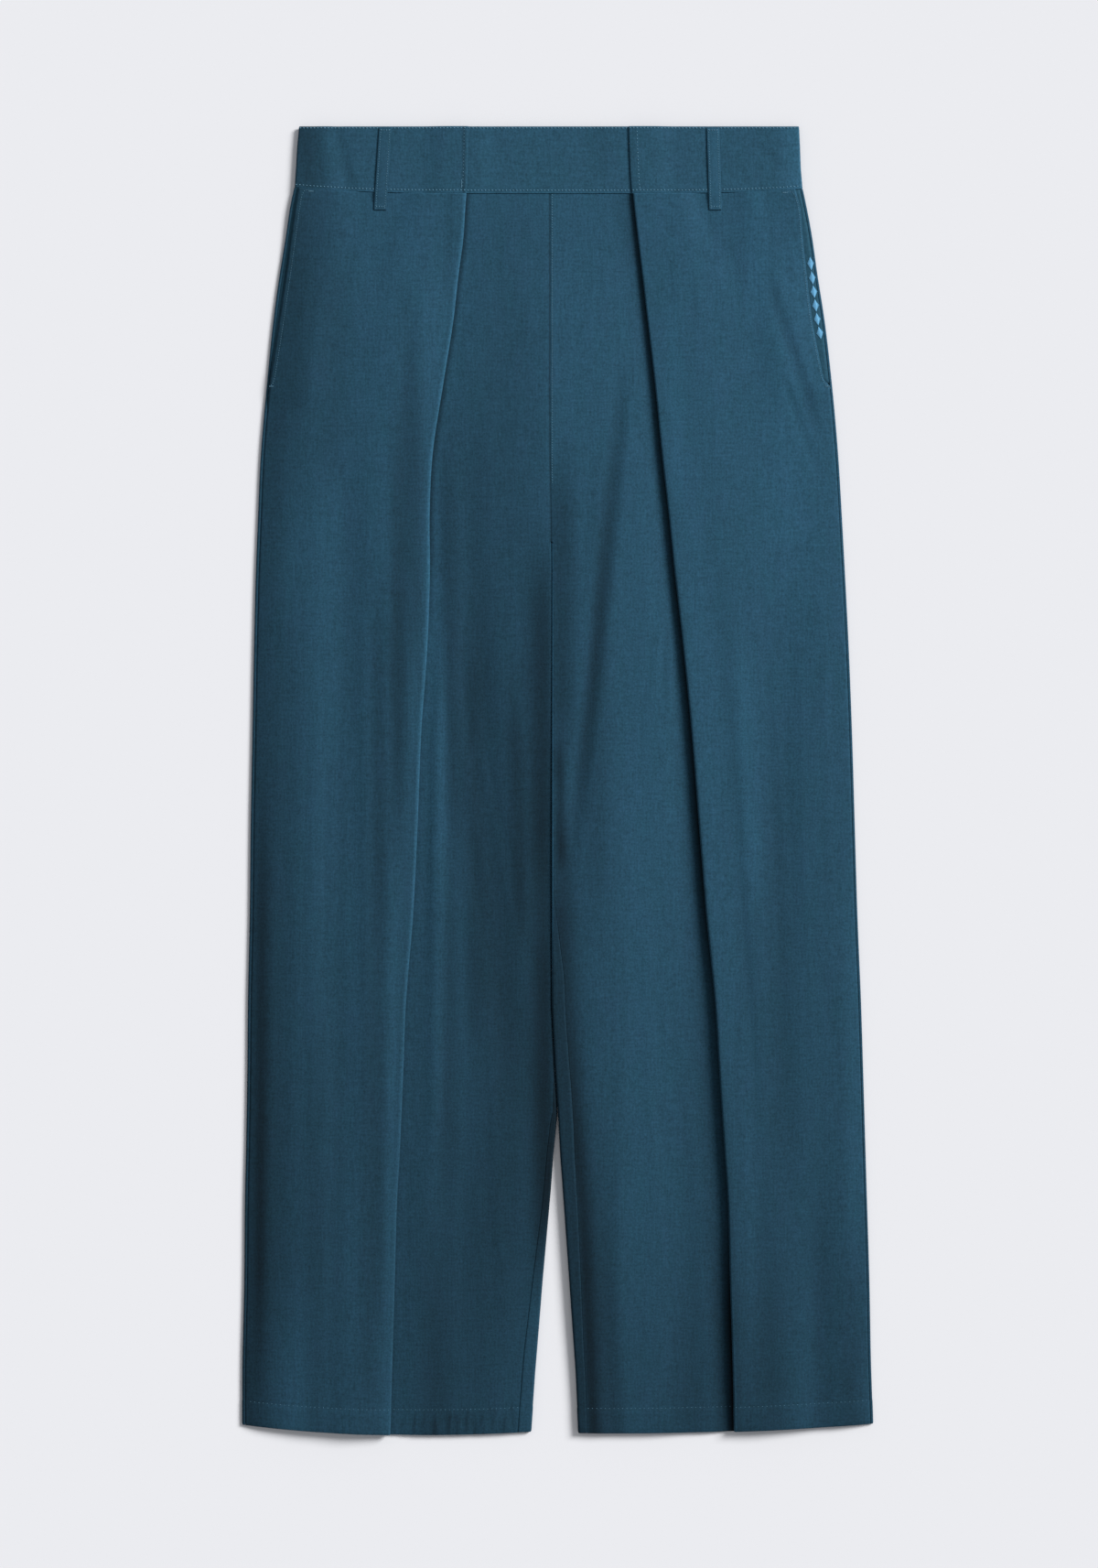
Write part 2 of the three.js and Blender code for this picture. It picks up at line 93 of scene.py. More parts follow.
LOZENGE_INSET = 4  # from the opening's edge to the middle of the row of lozenges


def table(columns, *rows):
    """A table's named columns as arrays."""
    return dict(zip(columns.split(), np.array(rows, float).T))


def rows_of(columns, *rows):
    """A table's rows, each with its values by the names of the columns."""
    return [dict(zip(columns.split(), row)) for row in rows]


# Outline, pleat folds and inner edges, as distances from the middle line.
SECTIONS = table(
    "drop right_outer right_fold right_inner left_inner left_fold left_outer",
    (54, -211.5, -73.2, -6.2, -6.2, 60.3, 196.8),
    (67, -214.4, -74.2, -6.2, -6.2, 61.7, 199.6),
    (89, -218, -75.6, -6.2, -6.2, 64.2, 204),
    (118, -223.2, -79.4, -6.2, -6.2, 67.7, 208.5),
    (155, -228.3, -83.6, -6.2, -6.2, 72, 214.3),
    (206, -233.5, -91.7, -6.2, -6.2, 77.9, 220.2),
    (265, -238.6, -100.5, -6, -6, 83.8, 225.4),
    (310, -240.6, -102.7, -5.2, -5.2, 88.9, 228.1),
    (354, -242.3, -102.5, -4.8, -4.8, 93.4, 230.5),
    (412, -243.8, -104.2, -4.8, -4.8, 100, 233.5),
    (486, -245.2, -109.4, -4.8, -4.8, 107.3, 236.4),
    (560, -246.6, -112.3, -4.8, -4.8, 113.2, 238.6),
    (633, -247.4, -116, -4.8, -4.8, 119.1, 240.8),
    (707, -248.9, -121.9, -4.8, -4.8, 126.4, 243.8),
    (756, -249.3, -123.7, -2.3, -2.3, 129.4, 245.3),
    (790, -249.8, -125.2, 0, 0, 131.6, 246.3),
    (824, -250.4, -126.7, -3.3, 1.8, 133.9, 247.3),
    (854, -251.1, -128.5, -5.5, 4, 136, 248.2),
    (927, -251.8, -130.7, -12.1, 9.2, 138.2, 250.4),
    (1001, -253.3, -132.9, -18, 14.3, 140.4, 251.8),
    (1050, -253.3, -134.4, -21.3, 16.5, 141.5, 253.3),
)
BAND = table(
    "drop right_outer right_lap left_lap left_outer",
    (0, -207.7, -71.7, 57, 193.8),
    (18, -209.2, -71.9, 57.6, 194.6),
    (36, -210.1, -72.4, 58.3, 195.2),
    (53.5, -211.2, -73.1, 59.6, 196.6),
)
POCKETS = table(
    "drop right left",
    (54, -208, 190.6),
    (67, -210.2, 194.4),
    (89, -213.6, 196.6),
    (118, -218, 199.8),
    (155, -223.4, 204.3),
    (203, -230.9, 213.5),
)
INSEAM_WRAPS = table(
    "drop right left",
    (334, 1.2, 1.2),
    (616, 1.2, 1.4),
    (685, 1.4, 10.3),
    (765, 1.6, 12),
    (800, 5, 12),
    (870, 6.2, 11),
    (986, 10.7, 7.7),
    (1050, 11, 7),
)
# How high the soft rolled edge of each pleat stands above a pressed one.
ROLLS = table(
    "drop right left",
    (54, 0.2, 0.3),
    (120, 0.7, 0.9),
    (260, 1.5, 2.2),
    (500, 2.2, 3.4),
    (760, 2.2, 4.2),
    (1000, 2.2, 4.5),
    (1030, 2, 3.4),
    (1050, 1.6, 2.2),
)
# Each hem's lowest place, its drop there, and its rise over a span
HEMS = {
    RIGHT: (-105, 1050, 8.1, 148),
    LEFT: (50, 1048.5, 7.3, 201),
}

# Painted light and shade, some by side: a shade darkens the cloth's colour where shade falls, and a light
# makes it lighter where light falls.
# Painted shade where the outer edge rolls away from the light
EDGE_SHADE = {RIGHT: 0.26, LEFT: 0.05}  # towards the outer edge
# Painted shade in the groove of the centre seam
CENTRE_SEAM_SHADE = {RIGHT: 0.45, LEFT: 0}
# Painted light along the waist seam and the waistband's lower edge, lifting the shadow where the band steps
# down on the panels
WAIST_SEAM_LIGHT = 0.12
LOWER_EDGE_LIGHT = 0.45  # on the waistband
# Painted highlight along the lit edge of each pleat's fold
FOLD_PAINTED_HIGHLIGHT = {RIGHT: 0.34, LEFT: 0}  # how much lighter the cloth is right on the fold
# Painted light that lifts the shade in the groove where the legs meet
MEETING_LIGHT = {RIGHT: 0, LEFT: 1.3}  # on the edge that turns away from the light where the legs meet
# Painted shadow beside each pleat's fold, each with the width over which it fades
FOLD_SHADE = {RIGHT: [(0.52, 5)], LEFT: [(0.5, 6), (0.22, 22)]}
# How much the painted shadow beside the fold, its painted highlight and the painted shade on the backs'
# turned inner edges change over stretches of the leg, from one drop to another
FOLD_SHADE_DROPS = {RIGHT: [(310, 410, -0.9)], LEFT: [(560, 760, -0.6), (860, 960, 0.5)]}
FOLD_HIGHLIGHT_DROPS = [(500, 900, -0.6)]
# Painted shade on the backs' turned inner edges further down the leg
TURNED_UNDER = {RIGHT: [(680, 790, -0.55), (850, 970, 0.55)], LEFT: [(570, 690, -0.42), (710, 800, 0.0504)]}
CREASES_STOP = {RIGHT: (680, 790), LEFT: (580, 680)}  # on the turned inner edges

# Soft folds and creases, each in one panel, or in both centre panels. Each runs from one place to
# another, bowed sideways, with its own width on each side. It is a ridge where its rise is positive
# and a trough where it is negative. Its shade is painted light and shade: the cloth that lies in it is painted
# lighter or darker where light or shade falls.
BOTH_CENTRES, RIGHT_CENTRE, LEFT_CENTRE, RIGHT_SIDE, LEFT_SIDE, BAND_FRONT = range(6)
CENTRE_PANELS = {RIGHT: [BOTH_CENTRES, RIGHT_CENTRE], LEFT: [BOTH_CENTRES, LEFT_CENTRE]}
SIDE_PANELS = {RIGHT: [RIGHT_SIDE], LEFT: [LEFT_SIDE]}  # beyond the pleat
CREASE_START, CREASE_END = 0.3, 0.72  # each has its full height between these shares of its length
CREASE_COLUMNS = "panel from_drop from_x to_drop to_x bow left_width right_width rise shade"
CREASE_ROWS = {}
CREASE_ROWS[BOTH_CENTRES] = [
    (20, 22, 1250, 34, 0, 104, 80, 3.6, 0),
]
CREASE_ROWS[RIGHT_CENTRE] = [
    (350, -8, 1250, -18, 0, 42, 30, -1.8, 0),
    (-60, -42, 1080, -38, 0, 46, 60, 0, -0.22),
    (170, -78, 520, -64, 0, 20, 26, -0.9, -0.2),
    (180, -92, 640, -80, 0, 12, 14, 0, -0.3),
    (330, -98, 900, -101, 3, 10, 10, 1.2, 0.18),
    (340, -74, 820, -30, -4, 20, 26, -1.4, -0.12),
    (530, -61, 770, -53, 0, 10, 11, 0.3, -0.05),
    (400, -71, 780, -66, 0, 12, 14, 0, -0.22),
    (420, -36, 680, -28, 0, 12, 10, 0, -0.24),
    (300, -11, 650, -12, 0, 22, 14, -0.5, -0.42),
    (540, -11, 1000, -9, 0, 19, 14, -0.5, -0.38),
    (560, -88, 880, -90, 0, 20, 16, 0, -0.18),
    (740, -70, 1300, -74, 0, 66, 58, 0, -0.12),
    (840, -101, 1400, -99, 0, 18, 24, 0, -0.14),
]
CREASE_ROWS[LEFT_CENTRE] = [
    (150, 56, 640, 4, 3, 12, 11, -1.4, -0.32),
    (230, 3, 540, 2, 0, 18, 22, 0, -0.4),
    (200, 34, 700, 30, 0, 18, 18, 0, -0.18),
    (480, 1, 610, 3, 0, 9, 9, 0, -0.46),
    (540, 0, 900, 4, 0, 12, 24, 0, -0.5),
    (670, 11, 1500, 50, 0, 13, 15, 0, -0.5),
    (500, 10, 1250, 16, 0, 20, 24, -1, 0),
    (420, 62, 1000, 64, 0, 18, 18, 0, 0.1),
    (740, 28, 1500, 70, 0, 13, 16, -0.5, -0.26),
    (220, 78, 1250, 84, 0, 28, 28, 0.9, 0.08),
    (520, 106, 1300, 146, 0, 11, 8, 0, -0.12),
    (840, 104, 1500, 104, 0, 60, 44, 0, -0.2),
]
CREASE_ROWS[RIGHT_SIDE] = [
    (60, -192, 1250, -205, 0, 26, 24, 1.5, 0.03),
    (130, -164, 1000, -174, 0, 18, 18, -1, -0.05),
    (20, -198, 350, -216, 0, 32, 26, 0, -0.15),
    (60, -173, 320, -187, 0, 20, 22, 0, -0.22),
    (200, -212, 430, -214, 0, 14, 16, 0, 0.12),
    (480, -236, 1050, -240, 0, 8, 10, 0, -0.2),
    (-20, -120, 130, -122, 0, 12, 12, 0, 0.14),
    (-20, -82, 160, -90, 0, 7, 6, 0, -0.14),
    (640, -193, 1250, -197, 0, 14, 14, 0, -0.13),
    (430, -163, 1080, -167, 0, 12, 11, 0, 0.12),
    (100, -117, 640, -132, 0, 14, 12, -1.2, -0.3),
    (170, -110, 470, -114, 0, 9, 8, 0, -0.24),
    (180, -131, 520, -133, 0, 8, 10, 0, -0.18),
    (330, -143, 700, -143, 0, 14, 9, -0.4, -0.24),
    (600, -143, 1000, -143, 0, 11, 8, -0.4, -0.12),
    (500, -130, 1400, -145, 2, 9, 9, 0.9, 0.14),
    (600, -149, 1080, -153, 0, 12, 10, 0, -0.1),
    (900, -214, 1300, -214, 0, 34, 36, 0, 0.18),
]
CREASE_ROWS[LEFT_SIDE] = [
    (330, 200, 960, 207, 0, 24, 22, 0.9, 0.02),
    (440, 174, 900, 181, 0, 19, 19, -0.8, -0.12),
    (20, 188, 430, 192, 0, 44, 30, 0, 0.18),
    (-40, 157, 190, 160, 0, 14, 16, 0, 0.22),
    (105, 164, 262, 214, 0, 9, 8, -0.9, -0.2),
    (190, 176, 290, 214, 0, 7, 6, -0.5, -0.06),
    (380, 145, 660, 158, 0, 12, 16, 0.3, 0.2),
    (60, 82, 1300, 172, 4, 14, 24, 0.5, 0.14),
    (110, 88, 320, 98, 0, 12, 14, 0, 0.14),
    (620, 144, 1060, 148, 0, 8, 8, 0, -0.1),
    (780, 210, 1300, 212, 0, 14, 14, -0.4, -0.12),
    (560, 236, 950, 240, 0, 14, 12, 0, 0.16),
    (660, 134, 1400, 146, 0, 8, 9, 0, -0.2),
    (820, 158, 1500, 160, 0, 30, 44, 0, -0.3),
    (860, 232, 1500, 236, 0, 26, 22, 0, -0.18),
]
CREASE_ROWS[BAND_FRONT] = [
    (-60, -196, 110, -174, 0, 9, 14, 0.7, 0.08),
    (-20, -182, 90, -158, 0, 9, 9, -0.6, -0.1),
    (-40, -199, 90, -195, 0, 16, 26, 0, -0.26),
    (12, 158, 44, 186, 0, 8, 8, -0.4, -0.06),
    (-60, -209, 110, -211, 0, 10, 22, 0, -0.3),
    (-60, -74.6, 110, -75.8, 0, 3, 2, -0.12, -0.42),
    (-40, -58, 60, -58, 0, 10, 10, 0, 0.12),
    (-60, 34, 60, 34, 0, 22, 16, 0, -0.08),
    (-60, 193, 110, 195, 0, 24, 6, 0, 0.32),
]

# Fine creases come in families, unevenly spread between two lines and uneven in length and height.
# Each row gives the first arguments of family_rows.
FAMILIES = [
    (RIGHT_CENTRE, 56, 175, -70, -14, -70, -14, 6, 3.4, 0.26, 0),
    (LEFT_CENTRE, 56, 175, 2, 58, 2, 64, 6, 3.4, 0.26, 0),
    (RIGHT_SIDE, 56, 190, -200, -82, -208, -96, 10, 3.6, 0.32, 0),
    (LEFT_SIDE, 56, 190, 70, 184, 80, 196, 10, 3.6, 0.32, 0),
    (LEFT_CENTRE, 300, 585, 84, 90, 52, 104, 6, 3.2, 0.3, 0),
    (RIGHT_CENTRE, 420, 700, -92, -70, -60, -22, 6, 3.4, 0.3, 0),
    (RIGHT_CENTRE, 640, 1040, -96, -50, -122, -30, 5, 5, 0.24, 0),
    (LEFT_CENTRE, 560, 1040, 40, 96, 34, 120, 5, 5, 0.24, 0),
    (RIGHT_SIDE, 300, 960, -222, -150, -236, -144, 6, 5, 0.24, 0),
    (LEFT_SIDE, 300, 960, 120, 214, 146, 226, 6, 5, 0.24, 0),
    (RIGHT_CENTRE, 1022, 1062, -116, -34, -117, -32, 11, 2.2, 0.4, -0.2),
    (BAND_FRONT, 20, 56, -190, 180, -196, 186, 22, 3, 0.16, 0),
]


def family_rows(panel, top, low, top_from, top_to, low_from, low_to, count, width, rise, shade, draw):
    """Rows of the crease table for one family, spread over two lines at the drops top and low."""
    rows = []
    for place in range(count):
        share = (place + 0.5 + 0.6 * draw.uniform(-0.5, 0.5)) / count
        start = top + (low - top) * 0.25 * draw.random()
        end = low - (low - top) * 0.35 * draw.random()
        from_x = top_from + (top_to - top_from) * share
        to_x = low_from + (low_to - low_from) * share
        reach = width * draw.uniform(0.7, 1.4)
        height = rise * draw.uniform(0.35, 1.2) * draw.choice([-1, 1, 1])
        bow = draw.uniform(-4, 4)
        rows.append((panel, start, from_x, end, to_x, bow, reach, 1.3 * reach, height, shade))
    return rows


def all_creases():
    """The creases listed above and those of the families in one table."""
    draw = np.random.default_rng(7)
    rows = [(panel, *row) for panel, panel_rows in CREASE_ROWS.items() for row in panel_rows]
    for family in FAMILIES:
        rows += family_rows(*family, draw)
    return rows_of(CREASE_COLUMNS, *rows)


CREASES = all_creases()


def ease(low, high, value):
    """0 up to the low value and 1 from the high one on, with a smooth rise between them."""
    t = np.clip((value - low) / (high - low), 0, 1)
    return t * t * (3 - 2 * t)


def fade(low, high, value):
    """The other way: from 1 to 0."""
    return 1 - ease(low, high, value)


def dent(away, depth, width):
    """A narrow hollow, such as a row of stitches sinks in."""
    return depth * np.exp(-((away / width) ** 2))


def change(drop, stretches):
    """The sum of some amounts, each of which grows from nothing over a stretch of the leg."""
    return sum(amount * ease(start, end, drop) for start, end, amount in stretches)


def line_through(rows, column, at):
    """Straight lines through a column of a table by drop."""
    return np.interp(at, rows["drop"], rows[column])


def curve_through(rows, column, at):
    """A smooth curve through a column of a table by drop."""
    stops, values = rows["drop"], rows[column]
    slopes = np.gradient(values, stops)
    at = np.clip(at, stops[0], stops[-1])
    i = np.clip(np.searchsorted(stops, at) - 1, 0, len(stops) - 2)
    span = stops[i + 1] - stops[i]
    t = (at - stops[i]) / span
    start = (1 + 2 * t) * (1 - t) ** 2 * values[i] + t * (1 - t) ** 2 * span * slopes[i]
    end = t * t * (3 - 2 * t) * values[i + 1] + t * t * (t - 1) * span * slopes[i + 1]
    return start + end


def leg_edges(side, drop):
    """Distances of a leg's edges from the middle line, counted outwards."""
    name = NAMES[side]
    return {
        "inner": side * line_through(SECTIONS, f"{name}_inner", drop) + SEAM_GAP / 2,
        "fold": side * curve_through(SECTIONS, f"{name}_fold", drop),
        "outer": side * curve_through(SECTIONS, f"{name}_outer", drop),
        "pocket": side * curve_through(POCKETS, name, drop),
        "wrap": line_through(INSEAM_WRAPS, name, drop),
        "roll": line_through(ROLLS, name, drop),
    }


def waist_curve(x):
    return -WAIST_RISE * np.abs(x / WAIST_HALF) ** 4


def hem_curve(side, x):
    lowest_x, lowest_drop, rise, span = HEMS[side]
    return lowest_drop - OUTSEAM - rise * ((x - lowest_x) / span) ** 2


def leg_y(side, x, drop):
    """Where a point of a leg's section lies along the garment, on the curved waist seam and hem."""
    waist = waist_curve(x) * fade(PANEL_TOP, WAIST_CURVE_END, drop)
    hem = hem_curve(side, x) * ease(HEM_CURVE_START, OUTSEAM, drop)
    return OUTSEAM / 2 - (drop + waist + hem)


def waist_lift(drop):
    """The waist lies on the back belt loops."""
    return WAIST_LIFT * fade(LOOP_LENGTH + 2, 112, drop)


def crease_sum(panels, x, drop, value):
    """The sum of a column over all the creases of these panels that pass a point."""
    total = np.zeros(np.broadcast(x, drop).shape)
    for c in [crease for crease in CREASES if crease["panel"] in panels]:
        t = (drop - c["from_drop"]) / (c["to_drop"] - c["from_drop"])
        away = x - (c["from_x"] + t * (c["to_x"] - c["from_x"]) + c["bow"] * 4 * t * (1 - t))
        across = np.clip(np.abs(away) / np.where(away < 0, c["left_width"], c["right_width"]), 0, 1)
        along = ease(0, CREASE_START, t) * fade(CREASE_END, 1, t)
        total = total + c[value] * along * (0.5 + 0.5 * np.cos(np.pi * across))
    return total


def side_by_side(*columns):
    return np.concatenate(columns, 1)


def between(low, high, count):
    """Evenly spaced columns from one edge to another, for every row."""
    return low + (high - low) * np.linspace(0, 1, count)


def half_turn(u, z, reach, height, from_angle, to_angle, count):
    """A half turn of the cloth, for every row, about a centre."""
    angle = np.linspace(from_angle, to_angle, count)
    return np.broadcast_arrays(u + reach * np.cos(angle), z + height * np.sin(angle))


def leg_drops(step):
    """The rows of a leg panel: even ones, and close ones where something ends."""
    even = np.linspace(PANEL_TOP, OUTSEAM, int((OUTSEAM - PANEL_TOP) / step) + 1)
    special = [
        PANEL_TOP + 0.4, PANEL_TOP + 1.2, POCKET_DROP, POCKET_DROP + POCKET_CORNER,
        CROTCH_DROP - 1, CROTCH_DROP, HEM_ROW - 1.2, HEM_ROW, HEM_ROW + 1.2, OUTSEAM - 1.2, OUTSEAM - 0.4,
    ]
    drops = np.unique(np.concatenate([even, special]))
    return drops[np.concatenate([[True], np.diff(drops) > 0.3])]


def pressed_top(drop):
    """The cloth lies flat at the waist seam and gets loose below it."""
    return ease(PANEL_TOP, 170, drop)


def centre_height(side, u, drop, edges):
    """How far the panel between the centre and the pleat stands off the layer below."""
    from_fold = edges["fold"] - u
    loose = CENTRE_LOOSE * ease(0, 26, from_fold)
    folds = crease_sum(CENTRE_PANELS[side], side * u, drop, "rise")
    height = np.maximum(loose + folds, 0.15) * ease(1.5, 14, from_fold) * pressed_top(drop)
    return np.maximum(height - dent(drop - HEM_ROW, *HEM_DENT), 0)


def side_height(side, u, drop, edges, end):
    """How far the side panel stands off the layer below, with its rolled pleat edge and outer edge."""
    height, width = EDGE_ROLLS[side]
    from_end = end - u
    from_fold = u - edges["fold"]
    outer = height * (1 - (1 - np.clip(from_end / width, 0, 1)) ** 2) * pressed_top(drop)
    folds = crease_sum(SIDE_PANELS[side], side * u, drop, "rise") * ease(0, 14, from_end)
    body = np.maximum(outer + folds * ease(0, 16, from_fold) * pressed_top(drop), 0)
    pleat = edges["roll"] * fade(1, 30, from_fold)
    return np.maximum(body * ease(0, 30, from_fold) + pleat - dent(drop - HEM_ROW, *HEM_DENT), 0)


def layers_below(u, drop, edges, depth):
    """How high the pleat's hidden layers and the pocket's facing lift the side panel."""
    step_from = edges["fold"] + depth + 1.5
    ramp = PLEAT_RAMP_WAIST + (PLEAT_RAMP - PLEAT_RAMP_WAIST) * ease(PANEL_TOP, 150, drop)
    facing_from = edges["pocket"] - FACING_WIDTH - 2
    facing = ease(facing_from - 24, facing_from, u) * fade(POCKET_DROP + POCKET_CORNER, 230, drop)
    return 2 * LAYER_STEP * fade(step_from - 4, step_from + ramp, u) + LAYER_STEP * facing


def front_section(side, drops):
    """Middle line of a leg front in every row, from the centre seam or inseam to the outer edge."""
    drop = drops[:, None]
    edges = leg_edges(side, drop)
    fold = edges["fold"]
    base = waist_lift(drop) + LOW_LAYER + LAYER_STEP
    start = edges["inner"] + np.where(drop > CROTCH_DROP - 0.5, edges["wrap"] + SEAM_GAP, 0)
    share = (drop - PANEL_TOP) / (OUTSEAM - PANEL_TOP)
    depth = PLEAT_DEPTH_WAIST + (PLEAT_DEPTH_HEM - PLEAT_DEPTH_WAIST) * share
    turn = LAYER_STEP / 2
    inner_turn = fold + depth - turn - CLOTH / 2
    seam = edges["outer"] - OUTSEAM_WRAP - SEAM_GAP
    end = np.where(drop <= POCKET_DROP, np.minimum(edges["pocket"], seam), seam)

    centre_u = side_by_side(start + SEAM_COLUMNS, between(start + 6, fold, 42))
    centre_z = base + centre_height(side, centre_u, drop, edges)
    hidden_u = between(fold, inner_turn, 8)[:, 1:-1]
    turn_u, turn_z = half_turn(inner_turn, base + turn, turn, turn, -pi / 2, pi / 2, 7)
    fold_height = (LAYER_STEP + edges["roll"]) / 2
    fold_reach = np.minimum(fold_height, FOLD_REACH)
    fold_u = fold + fold_reach + CLOTH / 2
    return_u = between(inner_turn, fold_u, 8)[:, 1:-1]
    fold_z = base + LAYER_STEP + fold_height
    edge_u, edge_z = half_turn(fold_u, fold_z, fold_reach, fold_height, -pi / 2, -1.5 * pi, 11)
    near_u = between(fold_u, fold_u + 20, 12)[:, 1:]
    side_u = side_by_side(near_u, between(fold_u + 20, end, 62)[:, 1:])
    side_z = base + layers_below(side_u, drop, edges, depth) + side_height(side, side_u, drop, edges, end)
    u = side_by_side(centre_u, hidden_u, turn_u, return_u, edge_u, side_u)
    flat = np.ones_like(hidden_u)
    z = side_by_side(centre_z, base * flat, turn_z, (base + LAYER_STEP) * flat, edge_z, side_z)
    return u, z, front_tone(side, drop, edges, start, end, centre_u, side_u, u.shape[1])


def front_tone(side, drop, edges, start, end, centre_u, side_u, columns):
    """Painted light and shade: the creases' shades, the painted shadow beside the fold and painted highlight
    on its edge, painted shade along the centre seam and painted light along the waist seam.
    """
    centre = crease_sum(CENTRE_PANELS[side], side * centre_u, drop, "shade")
    centre = centre + fold_shade(side, edges["fold"] - centre_u, drop)
    centre = centre - CENTRE_SEAM_SHADE[side] * fade(0.4, 1.4, centre_u - start) * (drop < CROTCH_DROP)
    beyond = crease_sum(SIDE_PANELS[side], side * side_u, drop, "shade") + edge_shade(side, end - side_u)
    fold_highlight = FOLD_PAINTED_HIGHLIGHT[side] * (1 + change(drop, FOLD_HIGHLIGHT_DROPS))
    beyond = beyond + fold_highlight * fade(0.5, 2.4, side_u - edges["fold"])
    middle = fold_highlight * np.ones(columns - centre_u.shape[1] - side_u.shape[1])
    waist_seam = WAIST_SEAM_LIGHT * fade(0.3, 1.4, drop - PANEL_TOP)
    return side_by_side(centre, middle, beyond) + waist_seam


def fold_shade(side, from_fold, drop):
    """Painted shadow: the cloth right beside a pleat's fold is painted darker, where the fold's shadow falls.
    """
    deep = sum(amount * fade(0, width, from_fold) for amount, width in FOLD_SHADE[side])
    return -deep * (1 + change(drop, FOLD_SHADE_DROPS[side]))


def edge_shade(side, from_end):
    """Painted shade: the cloth is painted darker where it rolls away from the light at the outer edge."""
    return -EDGE_SHADE[side] * fade(0, 55, from_end)


def back_section(side, drops):
    """Middle line of a leg back, turned on to the front at both edges."""
    drop = drops[:, None]
    edges = leg_edges(side, drop)
    near, far = edges["inner"], edges["outer"]
    low = waist_lift(drop) + LOW_LAYER
    inner_front = centre_height(side, near + edges["wrap"], drop, edges)
    inner_height = (LAYER_STEP + inner_front) / 2
    inner_reach = np.minimum(inner_height, TURN_REACH + change(drop, TURN_REACH_DROPS))
    inner = near + inner_reach + CLOTH / 2
    inner_z = low + inner_height
    turn_u, turn_z = half_turn(inner, inner_z, inner_reach, inner_height, pi / 2, 1.5 * pi, 9)
    wrap_u = between(near + edges["wrap"], inner, 6)[:, :-1]
    wrap_z = (low + LAYER_STEP + inner_front) * np.ones_like(wrap_u)
    turned_u = side_by_side(wrap_u, turn_u)
    flat_u = between(near, near + 6, turned_u.shape[1])
    open_row = drop < CROTCH_DROP
    first_u = np.where(open_row, flat_u, turned_u)
    first_z = np.where(open_row, low, side_by_side(wrap_z, turn_z))
    turn = LAYER_STEP / 2
    outer = far - turn - CLOTH / 2
    across_u = between(near + 8, outer, 44)[:, :-1]
    last_u, last_z = half_turn(outer, low + turn, turn, turn, -pi / 2, pi / 2, 9)
    u = side_by_side(first_u, across_u, last_u, far - OUTSEAM_WRAP)
    z = side_by_side(first_z, low * np.ones_like(across_u), last_z, low + LAYER_STEP)
    # Painted shade where the back rolls away at the outer edge
    rolled = edge_shade(side, far - u) * (u > far - 30)
    return u, z, rolled + turned_tone(side, u, drop, edges)


def turned_tone(side, u, drop, edges):
    """Painted shade on a back's turned inner edge: it goes on with the front's creases and is painted darker
    further down, where it lies in shade, and painted light lifts the groove where the legs meet.
    """
    from_inner = u - edges["inner"]
    creases = crease_sum(CENTRE_PANELS[side], side * u, drop, "shade") * fade(*CREASES_STOP[side], drop)
    meeting = MEETING_LIGHT[side] * fade(0.5, 1.6, from_inner) * fade(620, 720, drop)
    below_crotch = (creases + meeting) * (drop > CROTCH_DROP)
    return (change(drop, TURNED_UNDER[side]) + below_crotch) * (from_inner < 20)


def leg_thickness(drops, columns, seam_columns):
    """The turned-up hem is double, and the cloth thins where it turns in at a seam or the hem."""
    thick = CLOTH + (HEM_CLOTH - CLOTH) * ease(HEM_ROW - 1, HEM_ROW + 1, drops)
    rounded = 0.45 + 0.55 * ease(0, 1.3, np.minimum(2 * (drops - PANEL_TOP) + 0.4, OUTSEAM - drops))
    thick = np.repeat((thick * rounded)[:, None], columns, 1)
    thick[drops < CROTCH_DROP, :seam_columns] *= np.linspace(0.45, 1, seam_columns + 1)[:-1]
    return thick


# Meshes
def grid_faces(rows, columns, first=0, flip=False):
    at = first + np.arange(rows * columns).reshape(rows, columns)
    quads = np.stack([at[:-1, :-1], at[:-1, 1:], at[1:, 1:], at[1:, :-1]], -1).reshape(-1, 4)
    return quads[:, ::-1] if flip else quads


def grid_normals(points):
    normal = np.cross(np.gradient(points, axis=1), np.gradient(points, axis=0))
    return normal / np.maximum(np.linalg.norm(normal, axis=2, keepdims=True), 1e-9)


def add_object(name, data):
    made = bpy.data.objects.new(name, data)
    bpy.context.collection.objects.link(made)
    return made


def make_mesh(name, points, faces, material, shade=None):
    """An object at the origin with its points in metres."""
    mesh = bpy.data.meshes.new(name)
    mesh.from_pydata((np.asarray(points) * MM).tolist(), [], np.asarray(faces).tolist())
    mesh.materials.append(material)
    if shade is not None:
        # The tone attribute holds painted shade and painted highlights
        tone = mesh.attributes.new("tone", "FLOAT", "POINT")
        tone.data.foreach_set("value", np.asarray(shade, np.float32))
    mesh.polygons.foreach_set("use_smooth", [True] * len(mesh.polygons))
    mesh.update()
    return add_object(name, mesh)


def cloth_shell(name, middle, thickness, material, shade):
    """A closed shell of cloth about a grid of points on its middle surface."""
    rows, columns = middle.shape[:2]
    half = grid_normals(middle) * (np.broadcast_to(thickness, (rows, columns))[..., None] / 2)
    count = rows * columns
    at = np.arange(count).reshape(rows, columns)
    ring = np.concatenate([at[0, :-1], at[:-1, -1], at[-1, :0:-1], at[:0:-1, 0]])
    after = np.roll(ring, -1)
    rim = np.stack([ring, ring + count, after + count, after], -1)
    faces = np.concatenate([grid_faces(rows, columns), grid_faces(rows, columns, count, True), rim])
    points = np.concatenate([middle + half, middle - half]).reshape(-1, 3)
    if signed_volume(points, faces) < 0:
        faces = faces[:, ::-1]
    return make_mesh(name, points, faces, material, np.tile(shade.reshape(-1), 2))


